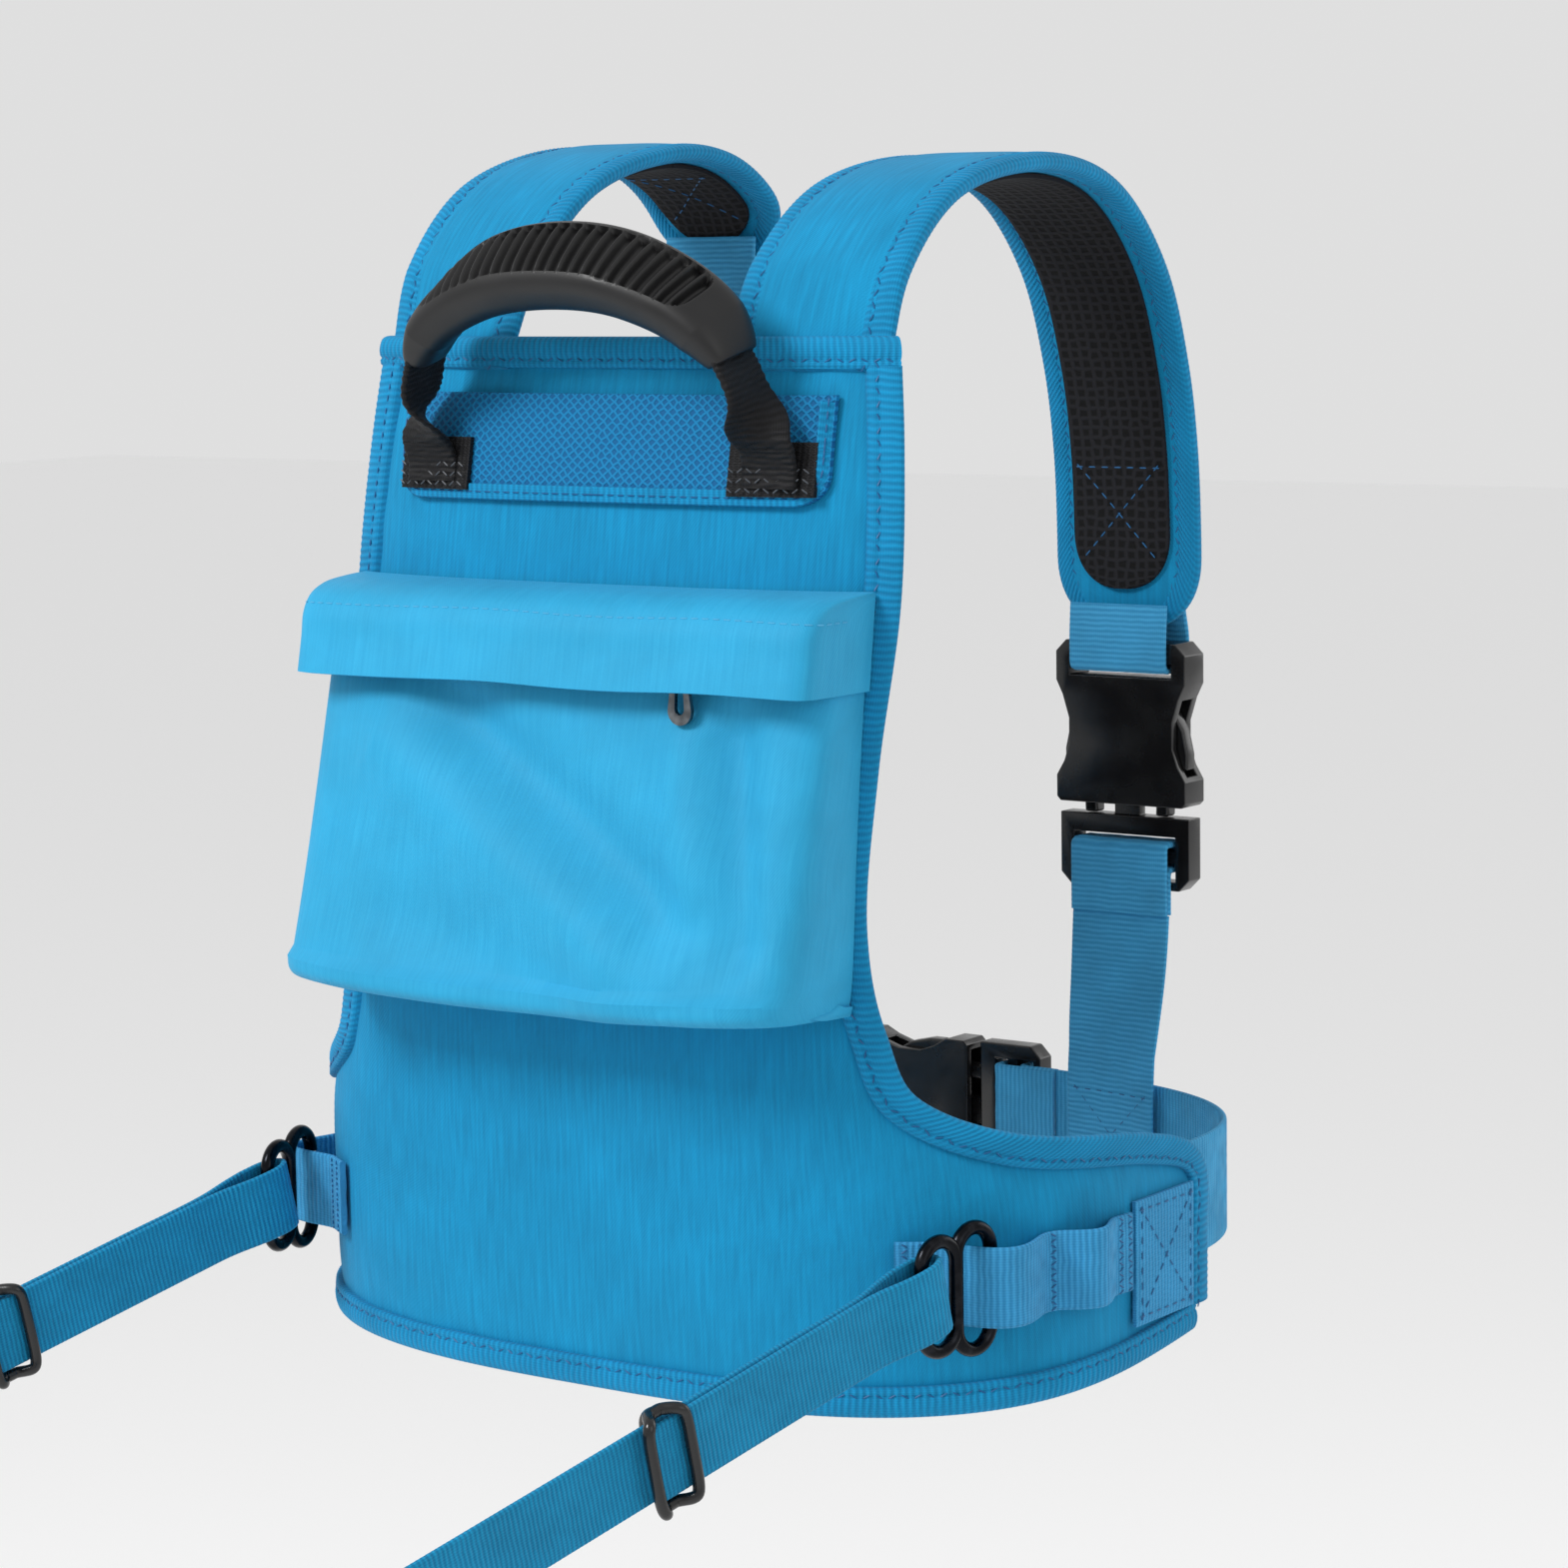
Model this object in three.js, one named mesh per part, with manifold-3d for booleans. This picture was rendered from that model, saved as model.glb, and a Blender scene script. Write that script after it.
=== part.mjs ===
// A child's safety harness vest: padded back panel, two shoulder straps, waist belt, three
// side-release buckles, a lifting handle, a zipped back pocket and two clip-on leashes.
// Millimetres. +X is the wearer's right, +Y the wearer's front, +Z up. The origin is the middle of
// the wearer's trunk at the height of the belt's centre line.
import * as THREE from 'three';
import { mergeVertices } from 'three/addons/utils/BufferGeometryUtils.js';
import manifoldModule from 'manifold-3d';

const wasm = await manifoldModule();
wasm.setup();
const { Manifold, Mesh: ManifoldMesh } = wasm;

// ---- driving sizes -------------------------------------------------------------------------
const GAP = 0.3;                // what touching pieces keep between them
const HALF_WIDTH = 149;         // trunk centre to the panel's face at the wearer's side
const BACK_DEPTH = 111;         // trunk centre to the panel's face, low on the back
const TOP_DEPTH = 84;           // the same at the panel's top edge, where it leans forward
const FRONT_DEPTH = 107;        // trunk centre to the belt across the front
const ROUNDNESS = 3;            // exponent of the trunk's rounded-box outline
const LEAN_START = 60;          // height above which the panel leans forward
const PANEL_TOP = 270;
const HEM_CENTRE = -42;
const HEM_SIDE = -32;
const PANEL_THICK = 3;
const LINING_THICK = 1.6;
const LINING_CLEAR = 1.6;        // the lining's flat facets stay inside the panel's by this
const BINDING_WIDTH = 8;
const BINDING_THICK = 5;
const BINDING_PROUD = 0.5;      // how far a binding stands off the panel's face
const WEB = 38;                 // width of the belt and drop webbing
const WEB_THICK = 2;
const NARROW_WEB = 25;          // width of the loops and leashes
const LEASH_WEB = 23;
const NARROW_THICK = 2;
const PAD_WIDTH = 56;
const PAD_THICK = 7;
const PAD_X = 70;               // centre of each shoulder strap from the middle
const MESH_WIDTH = 34;          // spacer mesh under each shoulder strap
const PATCH_HALF = 84;          // half width of the handle's backing patch
const PATCH_HIGH = PANEL_TOP - 9;
const PATCH_LOW = PATCH_HIGH - 33;
const FLAP_TOP = PATCH_LOW - 26;
const POCKET_HALF = 99;
const POCKET_TOP = FLAP_TOP - 20;
const POCKET_BOTTOM = 76;
const POCKET_WALL = 2;
const POCKET_DEPTH_TOP = 13;
const POCKET_DEPTH_LOW = 36;
const FLAP_BOTTOM = POCKET_TOP - 9;
const FLAP_THICK = 2.5;
const BUCKLE_WIDTH = 51;
const FEMALE_LENGTH = 56;
const FEMALE_THICK = 13;
const MALE_LENGTH = 25;
const MALE_THICK = 8;
const MOUTH_GAP = 4;            // between the socket's mouth and the plug's frame
const PRONG_THICK = 5.5;
const HOOK_BAR = 4.5;
const HOOK_EYE = 10;            // clear width of each eye
const TALL_EYE = 33;            // clear height of the eye that clips on the vest
const SHORT_EYE = 29;           // clear height of the eye that holds the leash
const HANDLE_HALF = 66;         // pivot line to pivot line is twice this
const HANDLE_RISE = 63;
const GRIP_RADIUS = 10;
const LEASH_LENGTH = 330;       // hook to hand loop
const HAND_LOOP = 90;
const PANEL_ROWS = 24;
const PANEL_COLUMNS = Math.round(HALF_WIDTH / 4.14);    // so that its facets keep their width

const RAD = Math.PI / 180;
const V = (x, y, z) => new THREE.Vector3(x, y, z);
const mix = THREE.MathUtils.lerp;
const vest = new THREE.Group();

// ---- finishes ------------------------------------------------------------------------------
const finish = (color, roughness, metalness = 0) =>
  new THREE.MeshStandardMaterial({ color, roughness, metalness });
const BLUE = finish(0x1b95d2, 0.85);
const LIGHT_BLUE = finish(0x3fa5da, 0.85);
const WEBBING = finish(0x3d8cc4, 0.8);
const LEASH_BLUE = finish(0x1a6c9c, 0.8);
const BLACK_FABRIC = finish(0x101014, 0.9);
const PLASTIC = finish(0x121213, 0.4);
const RUBBER = finish(0x3a3836, 0.7);
const METAL = finish(0x15161a, 0.25, 0.9);

/** Hangs a closed geometry in the vest, or in a group of it, as a named piece. */
function piece(name, geometry, material, parent = vest) {
  const mesh = new THREE.Mesh(geometry, material);
  mesh.name = name;
  parent.add(mesh);
  return mesh;
}

// ---- closed sheets and booleans ---------------------------------------------------------------
/** Turns a closed geometry's triangles to face outwards. */
function outward(geometry) {
  const at = geometry.attributes.position;
  const index = geometry.index.array;
  const corner = (i) => V().fromBufferAttribute(at, index[i]);
  let volume = 0;
  for (let i = 0; i < index.length; i += 3) {
    volume += corner(i).dot(corner(i + 1).cross(corner(i + 2)));
  }
  if (volume < 0) {
    for (let i = 0; i < index.length; i += 3) {
      [index[i], index[i + 1]] = [index[i + 1], index[i]];
    }
  }
  geometry.computeVertexNormals();
  return geometry;
}

/** A closed sheet: a unit box whose corners go where place(along, across, through) puts them. */
function sheet(columns, rows, place) {
  const box = new THREE.BoxGeometry(1, 1, 1, columns, rows, 1);
  const at = box.attributes.position;
  for (let i = 0; i < at.count; i++) {
    const p = place(at.getX(i) + 0.5, at.getY(i) + 0.5, at.getZ(i) + 0.5);
    at.setXYZ(i, p.x, p.y, p.z);
  }
  return outward(box);
}

/** A flat band of webbing along a curve, its width lying along the direction `across`. */
function ribbon(curve, steps, across, width, thickness) {
  return sheet(steps, 1, (u, v, w) => {
    const side = V().crossVectors(curve.getTangentAt(u), across).normalize();
    return curve.getPointAt(u)
      .addScaledVector(across, (v - 0.5) * width)
      .addScaledVector(side, (w - 0.5) * thickness);
  });
}

/** A flat plate: an outline in X and Y, its thickness centred on Z. */
function plate(outline, thickness, holes = []) {
  const shape = new THREE.Shape(outline.map(([x, y]) => new THREE.Vector2(x, y)));
  shape.holes = holes.map((hole) => new THREE.Path(hole.map(([x, y]) => new THREE.Vector2(x, y))));
  const geometry = new THREE.ExtrudeGeometry(shape, { depth: thickness, bevelEnabled: false });
  return geometry.translate(0, 0, -thickness / 2);
}

function toSolid(geometry) {
  const bare = new THREE.BufferGeometry();
  bare.setAttribute('position', geometry.attributes.position);
  bare.setIndex(geometry.index);
  const merged = mergeVertices(bare, 1e-4);
  return new Manifold(new ManifoldMesh({
    numProp: 3,
    vertProperties: new Float32Array(merged.attributes.position.array),
    triVerts: new Uint32Array(merged.index.array),
  }));
}

function toGeometry(solid) {
  const mesh = solid.getMesh();
  const geometry = new THREE.BufferGeometry();
  geometry.setAttribute('position', new THREE.BufferAttribute(mesh.vertProperties, 3));
  geometry.setIndex(new THREE.BufferAttribute(mesh.triVerts, 1));
  geometry.computeVertexNormals();
  return geometry;
}

/** The first geometry with the others cut away, or joined on. */
const cut = (body, ...tools) =>
  toGeometry(tools.reduce((left, tool) => left.subtract(toSolid(tool)), toSolid(body)));
const join = (body, ...more) =>
  toGeometry(more.reduce((left, tool) => left.add(toSolid(tool)), toSolid(body)));
const box = (x0, x1, y0, y1, z0, z1) =>
  new THREE.BoxGeometry(x1 - x0, y1 - y0, z1 - z0)
    .translate((x0 + x1) / 2, (y0 + y1) / 2, (z0 + z1) / 2);
const mirrored = (points) => [...points, ...points.map(([x, y]) => [-x, y]).reverse()];

// ---- the trunk's outline ----------------------------------------------------------------------
function backDepth(z) {
  const lean = THREE.MathUtils.clamp((z - LEAN_START) / (PANEL_TOP - LEAN_START), 0, 1.2);
  return BACK_DEPTH - (BACK_DEPTH - TOP_DEPTH) * lean ** 1.6;
}

/** A point on the trunk: angle from the middle of the back, height, distance off the panel. */
function around(angle, z, out) {
  const depth = Math.cos(angle) > 0 ? backDepth(z) : FRONT_DEPTH;
  const s = Math.abs(Math.sin(angle)) / (HALF_WIDTH + out);
  const c = Math.abs(Math.cos(angle)) / (depth + out);
  const r = (s ** ROUNDNESS + c ** ROUNDNESS) ** (-1 / ROUNDNESS);
  return V(r * Math.sin(angle), -r * Math.cos(angle), z);
}

/** The front's depth at a distance from the middle. */
const frontDepth = (x) =>
  FRONT_DEPTH * (1 - (Math.abs(x) / HALF_WIDTH) ** ROUNDNESS) ** (1 / ROUNDNESS);

/** The same surface on the back, by distance from the middle. */
function onBack(x, z, out) {
  const share = 1 - (Math.abs(x) / (HALF_WIDTH + out)) ** ROUNDNESS;
  return V(x, -(backDepth(z) + out) * share ** (1 / ROUNDNESS), z);
}

// ---- back panel, lining and bindings ------------------------------------------------------------
// The panel's edge from the hem up round the armhole: angle in degrees, the edge's height, and the
// height at which the same row of cloth crosses the middle of the back.
const panelEdge = new THREE.CatmullRomCurve3([
  V(97, HEM_SIDE, HEM_CENTRE), V(97, -10, -26), V(96, 12, -14), V(86, 20, -6), V(63, 29, 6),
  V(50, 43, 22), V(45, 68, 45), V(43, 100, 80), V(45, PANEL_TOP - 120, PANEL_TOP - 130),
  V(48.5, PANEL_TOP - 70, PANEL_TOP - 72), V(50, PANEL_TOP - 25, PANEL_TOP - 26),
  V(50.5, PANEL_TOP, PANEL_TOP),
]);

function panelPoint(u, v, out, inset = 0) {
  const edge = panelEdge.getPoint(v);
  const side = 2 * u - 1;
  const height = edge.z + (edge.y - edge.z) * Math.abs(side) ** 3;
  return around((edge.x - inset) * RAD * side, height, out);
}

piece('back_panel', sheet(PANEL_COLUMNS, PANEL_ROWS,
  (u, v, w) => panelPoint(u, v, -PANEL_THICK * (1 - w))), BLUE);

const LINING_REACH = 58;        // degrees round from the middle of the back
piece('panel_lining', sheet(20, 16, (u, v, w) => {
  const edge = panelEdge.getPoint(mix(0.06, 0.97, v));
  const reach = Math.min(edge.x - 4, LINING_REACH);
  const out = -PANEL_THICK - LINING_CLEAR - LINING_THICK * (1 - w);
  return around(reach * RAD * (2 * u - 1), edge.z, out);
}), BLACK_FABRIC);

const EDGE_RADIUS = 125;        // about how far the panel's edge runs from the trunk's axis
function armholeBinding(side) {
  return sheet(PANEL_ROWS, 1, (u, v, w) => {
    const edge = panelEdge.getPoint(u);
    const run = panelEdge.getTangent(u);
    const off = 2 * GAP + BINDING_WIDTH * v;
    const across = new THREE.Vector2(run.y, -run.x * RAD * EDGE_RADIUS).normalize();
    const angle = edge.x * RAD + across.x * off / EDGE_RADIUS;
    return around(side * angle, edge.y + across.y * off, BINDING_PROUD - BINDING_THICK * (1 - w));
  });
}
piece('armhole_binding_right', armholeBinding(1), BLUE);
piece('armhole_binding_left', armholeBinding(-1), BLUE);

/** A strip along the hem or the neck, from the panel's edge outwards. */
function edgeStrip(v, direction, reach) {
  return sheet(PANEL_COLUMNS, 1, (u, across, w) => {
    const p = panelPoint(0.5 + (u - 0.5) * reach, v, BINDING_PROUD - BINDING_THICK * (1 - w));
    p.z += direction * (2 * GAP + BINDING_WIDTH * across);
    return p;
  });
}
piece('hem_binding', edgeStrip(0, -1, 1), BLUE);
const NECK_REACH = 0.4;         // share of the panel's width between the shoulder straps
piece('neck_binding', edgeStrip(1, 1, NECK_REACH), BLUE);

// ---- shoulder straps ------------------------------------------------------------------------
const RIGHT_BUCKLE_Y = 112;
const LEFT_BUCKLE_Y = 72;
const PAD_START = 2.1;          // above the panel's top; the tilted end face then clears its edge
const RIGHT_PAD_END = -97;      // end of each pad, from the height of the panel's top
const LEFT_PAD_END = 29;
const PAD_TO_BUCKLE = 3;
const mouthZ = (padEnd) => PANEL_TOP + padEnd - PAD_TO_BUCKLE - FEMALE_LENGTH;
// Each strap's middle line, as depth and height above the panel's top: up from the panel, over the
// shoulder and down the chest.
const strapRoute = (x, points) =>
  new THREE.CatmullRomCurve3(points.map(([y, up]) => V(x, y, PANEL_TOP + up)));
const padRoutes = {
  right: strapRoute(PAD_X, [
    [-TOP_DEPTH * 0.965, PAD_START], [-66, 28], [-34, 52], [24, 61], [62, 52], [90, 26],
    [104, -6], [110, -35], [RIGHT_BUCKLE_Y, -65], [RIGHT_BUCKLE_Y, RIGHT_PAD_END],
  ]),
  left: strapRoute(-PAD_X, [
    [-TOP_DEPTH * 0.965, PAD_START], [-66, 29], [-36, 55], [14, 67], [46, 63],
    [66, 50], [LEFT_BUCKLE_Y - 1, 38], [LEFT_BUCKLE_Y, LEFT_PAD_END],
  ]),
};
const PAD_FLAT_END = 0.35;      // share of its length over which a pad leaves the back's curve

/** A strap layer along the route: its width, thickness and distance off the middle line. */
function strapLayer(route, steps, width, thickness, off, from, to) {
  return sheet(steps, 6, (u, v, w) => {
    const t = mix(from, to, u);
    const p = route.getPointAt(t);
    const outwards = V().crossVectors(V(1, 0, 0), route.getTangentAt(t)).normalize();
    const x = p.x + (v - 0.5) * width;
    const seat = onBack(x, PANEL_TOP, 0).y - onBack(p.x, PANEL_TOP, 0).y;
    const fade = Math.max(0, 1 - t / PAD_FLAT_END) ** 2;
    return V(x, p.y + seat * fade, p.z).addScaledVector(outwards, off + (w - 0.5) * thickness);
  });
}
for (const side of ['right', 'left']) {
  const route = padRoutes[side];
  piece(`shoulder_pad_${side}`, strapLayer(route, 30, PAD_WIDTH, PAD_THICK, 0, 0, 1), BLUE);
  piece(`shoulder_mesh_${side}`, strapLayer(route, 30, MESH_WIDTH, LINING_THICK,
    -(PAD_THICK + LINING_THICK) / 2 - 2 * GAP, 0.06, 0.93), BLACK_FABRIC);
}

// ---- side-release buckles ---------------------------------------------------------------------
// Drawn with the socket above the mouth (Y > 0), the plug below it, and the outer face at +Z.
const SLOT_HALF = WEB / 2 + 1;
const CAVITY_HALF = 22;
const CAVITY_THICK = PRONG_THICK + 1.2;
const CAVITY_LENGTH = 38;
const END_BAR = 7;
const SOCKET_SLOT = 5;
const WINDOW = [10.5, 36.5];
const PRONG_TIP = 34;
const LADDER_BAR = 4;
const END_RAIL = 3;
const TONGUE_HALF = 5;
const plugBar = -MOUTH_GAP - MALE_LENGTH / 2 - 1;   // the middle bar that the webbing goes round
const half = BUCKLE_WIDTH / 2;

function socket() {
  const outline = mirrored([
    [half - 1.5, 0], [half, 1.5], [half, 9], [half - 3, 14], [half - 5, 20], [half - 5, 29],
    [half - 2.5, 37], [half, 42], [half, FEMALE_LENGTH - 4], [half - 4, FEMALE_LENGTH],
  ]);
  const t = CAVITY_THICK / 2;
  const slotTop = FEMALE_LENGTH - END_BAR;
  return cut(plate(outline, FEMALE_THICK),
    box(-CAVITY_HALF, CAVITY_HALF, -1, CAVITY_LENGTH, -t, t),
    box(-BUCKLE_WIDTH, BUCKLE_WIDTH, WINDOW[0], WINDOW[1], -t, t),
    box(-SLOT_HALF, SLOT_HALF, slotTop - SOCKET_SLOT, slotTop, -FEMALE_THICK, FEMALE_THICK));
}

function plug() {
  const low = -MOUTH_GAP - MALE_LENGTH;
  const outline = mirrored([
    [half, -MOUTH_GAP], [half, low + 4], [half - 4, low],
  ]);
  const slot = (top, bottom) => box(-SLOT_HALF, SLOT_HALF, bottom, top, -9, 9);
  const frame = cut(plate(outline, MALE_THICK),
    slot(plugBar + LADDER_BAR / 2 + SOCKET_SLOT, plugBar + LADDER_BAR / 2),
    slot(plugBar - LADDER_BAR / 2, low + END_RAIL));
  const tongue = box(-TONGUE_HALF, TONGUE_HALF, -MOUTH_GAP - 1, PRONG_TIP - 4, -2, 2);
  return join(frame, tongue);
}

const PRONG_ROOT = -MOUTH_GAP + GAP;
const PRONG_PIVOT = 14;         // distance of each prong's root from the buckle's middle
function prong(side) {
  const outline = [
    [PRONG_PIVOT - 2.5, PRONG_ROOT], [PRONG_PIVOT + 2.5, PRONG_ROOT], [17.2, 11.4], [half - 1.2, 12.6],
    [half - 1.2, 18], [22.5, 26], [18, PRONG_TIP], [14, PRONG_TIP], [12.6, 20],
  ].map(([x, y]) => [side * x, y]);
  return plate(side > 0 ? outline : outline.reverse(), PRONG_THICK);
}

/** The webbing's end loop round the socket's end bar, reaching `reach` past the bar. */
function socketTab(reach, inside, outside) {
  const low = FEMALE_LENGTH - END_BAR - SOCKET_SLOT / 2;
  const edge = FEMALE_THICK / 2 + WEB_THICK / 2 + GAP;
  const far = FEMALE_LENGTH + reach;
  const bend = 3;
  const route = new THREE.CurvePath();
  const corner = (a, b, c) => route.add(new THREE.QuadraticBezierCurve3(a, b, c));
  const P = (y, z) => V(0, y, z);
  route.add(new THREE.LineCurve3(P(far, -inside), P(FEMALE_LENGTH + 2, -edge)));
  route.add(new THREE.LineCurve3(P(FEMALE_LENGTH + 2, -edge), P(low + bend, -edge)));
  corner(P(low + bend, -edge), P(low, -edge), P(low, -edge + bend));
  route.add(new THREE.LineCurve3(P(low, -edge + bend), P(low, edge - bend)));
  corner(P(low, edge - bend), P(low, edge), P(low + bend, edge));
  route.add(new THREE.LineCurve3(P(low + bend, edge), P(FEMALE_LENGTH + 2, edge)));
  route.add(new THREE.LineCurve3(P(FEMALE_LENGTH + 2, edge), P(far, outside)));
  return ribbon(route, 36, V(1, 0, 0), WEB, WEB_THICK);
}

/** The webbing's loop through the plug's two slots and over its middle bar. */
const LOOP_REACH = 8;           // how far the loop runs on past the plug
const LOOP_INNER = MALE_THICK / 2 + WEB_THICK / 2 + GAP;
const LOOP_OUTER = LOOP_INNER + WEB_THICK + GAP;
function plugLoop() {
  const low = -MOUTH_GAP - MALE_LENGTH - LOOP_REACH;
  const near = plugBar + LADDER_BAR / 2 + SOCKET_SLOT / 2;
  const far = plugBar - LADDER_BAR / 2 - SOCKET_SLOT / 2 + 0.2;
  const P = (y, z) => V(0, y, z);
  const bend = 2.2;
  const route = new THREE.CurvePath();
  const line = (a, b) => route.add(new THREE.LineCurve3(a, b));
  const corner = (a, b, c) => route.add(new THREE.QuadraticBezierCurve3(a, b, c));
  line(P(low, -LOOP_INNER), P(far - bend, -LOOP_INNER));
  corner(P(far - bend, -LOOP_INNER), P(far, -LOOP_INNER), P(far, -LOOP_INNER + bend));
  line(P(far, -LOOP_INNER + bend), P(far, LOOP_INNER - bend));
  corner(P(far, LOOP_INNER - bend), P(far, LOOP_INNER), P(far + bend, LOOP_INNER));
  line(P(far + bend, LOOP_INNER), P(near - bend, LOOP_INNER));
  corner(P(near - bend, LOOP_INNER), P(near, LOOP_INNER), P(near, LOOP_INNER - bend));
  line(P(near, LOOP_INNER - bend), P(near, -LOOP_OUTER + bend));
  corner(P(near, -LOOP_OUTER + bend), P(near, -LOOP_OUTER), P(near - bend, -LOOP_OUTER));
  line(P(near - bend, -LOOP_OUTER), P(low, -LOOP_OUTER));
  return ribbon(route, 44, V(1, 0, 0), WEB, WEB_THICK);
}

const WAIST_TAB_REACH = 20;
const WAIST_TAB_STAND = 1.5;    // the waist tab's inner leaf off the middle of the belt's webbing
const WAIST_MOUTH_X = 6;
const WAIST_Y = FRONT_DEPTH + LOOP_INNER;
/** One buckle with its webbing ends, in a group turned to where it hangs. */
function buckle(name, at, turn, padded) {
  const group = new THREE.Group();
  group.position.copy(at);
  group.rotation.copy(turn);
  vest.add(group);
  const padFace = PAD_THICK / 2 + WEB_THICK / 2 + GAP;
  const tabEnd = FEMALE_LENGTH + WAIST_TAB_REACH - WAIST_MOUTH_X;
  const leaf = WAIST_Y - frontDepth(tabEnd) - WAIST_TAB_STAND;
  const tab = padded ? socketTab(PAD_TO_BUCKLE + 10, padFace + LINING_THICK + 2 * GAP, padFace)
    : socketTab(WAIST_TAB_REACH, leaf, WEB_THICK + GAP - leaf);
  piece(`${name}_socket`, socket(), PLASTIC, group);
  piece(`${name}_plug`, plug(), PLASTIC, group);
  piece(`${name}_prong_a`, prong(1), PLASTIC, group);
  piece(`${name}_prong_b`, prong(-1), PLASTIC, group);
  piece(`${name}_socket_tab`, tab, WEBBING, group);
  piece(`${name}_plug_loop`, plugLoop(), WEBBING, group);
}
const hanging = new THREE.Euler().setFromRotationMatrix(
  new THREE.Matrix4().makeBasis(V(-1, 0, 0), V(0, 0, 1), V(0, 1, 0)));
const level = new THREE.Euler().setFromRotationMatrix(
  new THREE.Matrix4().makeBasis(V(0, 0, -1), V(-1, 0, 0), V(0, 1, 0)));
buckle('shoulder_buckle_right', V(PAD_X, RIGHT_BUCKLE_Y, mouthZ(RIGHT_PAD_END)), hanging, true);
buckle('shoulder_buckle_left', V(-PAD_X, LEFT_BUCKLE_Y, mouthZ(LEFT_PAD_END)), hanging, true);
buckle('waist_buckle', V(WAIST_MOUTH_X, WAIST_Y, 0), level, false);

// ---- drop straps and belt ---------------------------------------------------------------------
const loopEnd = MOUTH_GAP + MALE_LENGTH + LOOP_REACH + GAP;
const BELT_TO_DROP = WEB_THICK + GAP;     // the drop webbing is sewn on the belt's inner face
function dropStrap(side, topY, topZ) {
  const start = topY - (LOOP_INNER + LOOP_OUTER) / 2;
  const end = frontDepth(PAD_X) - BELT_TO_DROP - WEB_THICK;
  const route = new THREE.CatmullRomCurve3([
    V(side * PAD_X, start, topZ), V(side * PAD_X, mix(start, end, 0.3), mix(topZ, WEB / 2, 0.35)),
    V(side * PAD_X, mix(start, end, 0.8), mix(topZ, WEB / 2, 0.75)), V(side * PAD_X, end, WEB / 2),
    V(side * PAD_X, end, -WEB / 2),
  ]);
  return sheet(14, 4, (u, v, w) => {
    const p = route.getPointAt(u);
    const tangent = route.getTangentAt(u);
    const seatX = p.x + (v - 0.5) * WEB;
    const follow = Math.min(1, 2 * u) ** 2 * (frontDepth(seatX) - frontDepth(p.x));
    const face = V().crossVectors(tangent, V(1, 0, 0)).normalize();
    return V(seatX, p.y + follow, p.z).addScaledVector(face, (w - 0.5) * WEB_THICK);
  });
}
piece('drop_strap_right', dropStrap(1, RIGHT_BUCKLE_Y, mouthZ(RIGHT_PAD_END) - loopEnd), WEBBING);
piece('drop_strap_left', dropStrap(-1, LEFT_BUCKLE_Y, mouthZ(LEFT_PAD_END) - loopEnd), WEBBING);

/** Half of the belt, from beside the buckle round the front corner to inside the panel's wing. */
const BELT_CLEAR = HALF_WIDTH * 0.009;   // the belt's facets stay inside the wing's by this
const BELT_SEWN_END = 68;       // degrees from the middle of the back
function belt(side, startX) {
  const inner = BINDING_PROUD - BINDING_THICK - BELT_CLEAR - WEB_THICK;
  const startAngle = Math.PI - Math.atan2(startX, frontDepth(startX));
  return sheet(34, 1, (u, v, w) => {
    const angle = mix(startAngle, BELT_SEWN_END * RAD, u);
    const front = THREE.MathUtils.smoothstep(-Math.cos(angle), 0, 0.8);
    return around(side * angle, (v - 0.5) * WEB, mix(inner, -WEB_THICK / 2, front) + w * WEB_THICK);
  });
}
piece('belt_right', belt(1, WAIST_MOUTH_X + loopEnd + GAP), WEBBING);
piece('belt_left', belt(-1, FEMALE_LENGTH + WAIST_TAB_REACH - WAIST_MOUTH_X + 2 * GAP), WEBBING);

// ---- handle -----------------------------------------------------------------------------------
const HANDLE_Z = PATCH_LOW + 10;
const HANDLE_OFF = 7.6;         // pivot line off the panel, clear of the anchors
const HANDLE_Y = onBack(HANDLE_HALF, HANDLE_Z, 0).y - HANDLE_OFF;
piece('handle_patch', sheet(20, 3, (u, v, w) =>
  onBack((u - 0.5) * 2 * PATCH_HALF, mix(PATCH_LOW, PATCH_HIGH, v), GAP + 2 * w)), LIGHT_BLUE);
const ANCHOR_HALF = 14;
for (const [side, sign] of [['right', 1], ['left', -1]]) {
  piece(`handle_anchor_${side}`, sheet(4, 3, (u, v, w) =>
    onBack(sign * HANDLE_HALF + (u - 0.5) * 2 * ANCHOR_HALF, mix(PATCH_LOW + 3, HANDLE_Z + 6, v),
      2 + 2 * GAP + w * 2)), BLACK_FABRIC);
}
const CREST_OUT = 14;           // how far the handle's crest stands back of its pivot line
const handleRoute = new THREE.CatmullRomCurve3([
  V(-HANDLE_HALF, HANDLE_Y, HANDLE_Z), V(-HANDLE_HALF + 1, HANDLE_Y - 4, HANDLE_Z + 20),
  V(-HANDLE_HALF * 0.82, HANDLE_Y - 9, HANDLE_Z + 44),
  V(-HANDLE_HALF * 0.45, HANDLE_Y - CREST_OUT * 0.95, HANDLE_Z + HANDLE_RISE * 0.93),
  V(0, HANDLE_Y - CREST_OUT, HANDLE_Z + HANDLE_RISE),
  V(HANDLE_HALF * 0.45, HANDLE_Y - CREST_OUT * 0.95, HANDLE_Z + HANDLE_RISE * 0.93),
  V(HANDLE_HALF * 0.82, HANDLE_Y - 9, HANDLE_Z + 44),
  V(HANDLE_HALF - 1, HANDLE_Y - 4, HANDLE_Z + 20), V(HANDLE_HALF, HANDLE_Y, HANDLE_Z),
]);
const LEG_END = 0.17;           // share of the handle's length that is bare webbing at each end
const HANDLE_WEB = 20;
const HANDLE_WEB_THICK = 2.4;
const GRIP_HALF = 14;           // half the grip's width
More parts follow.
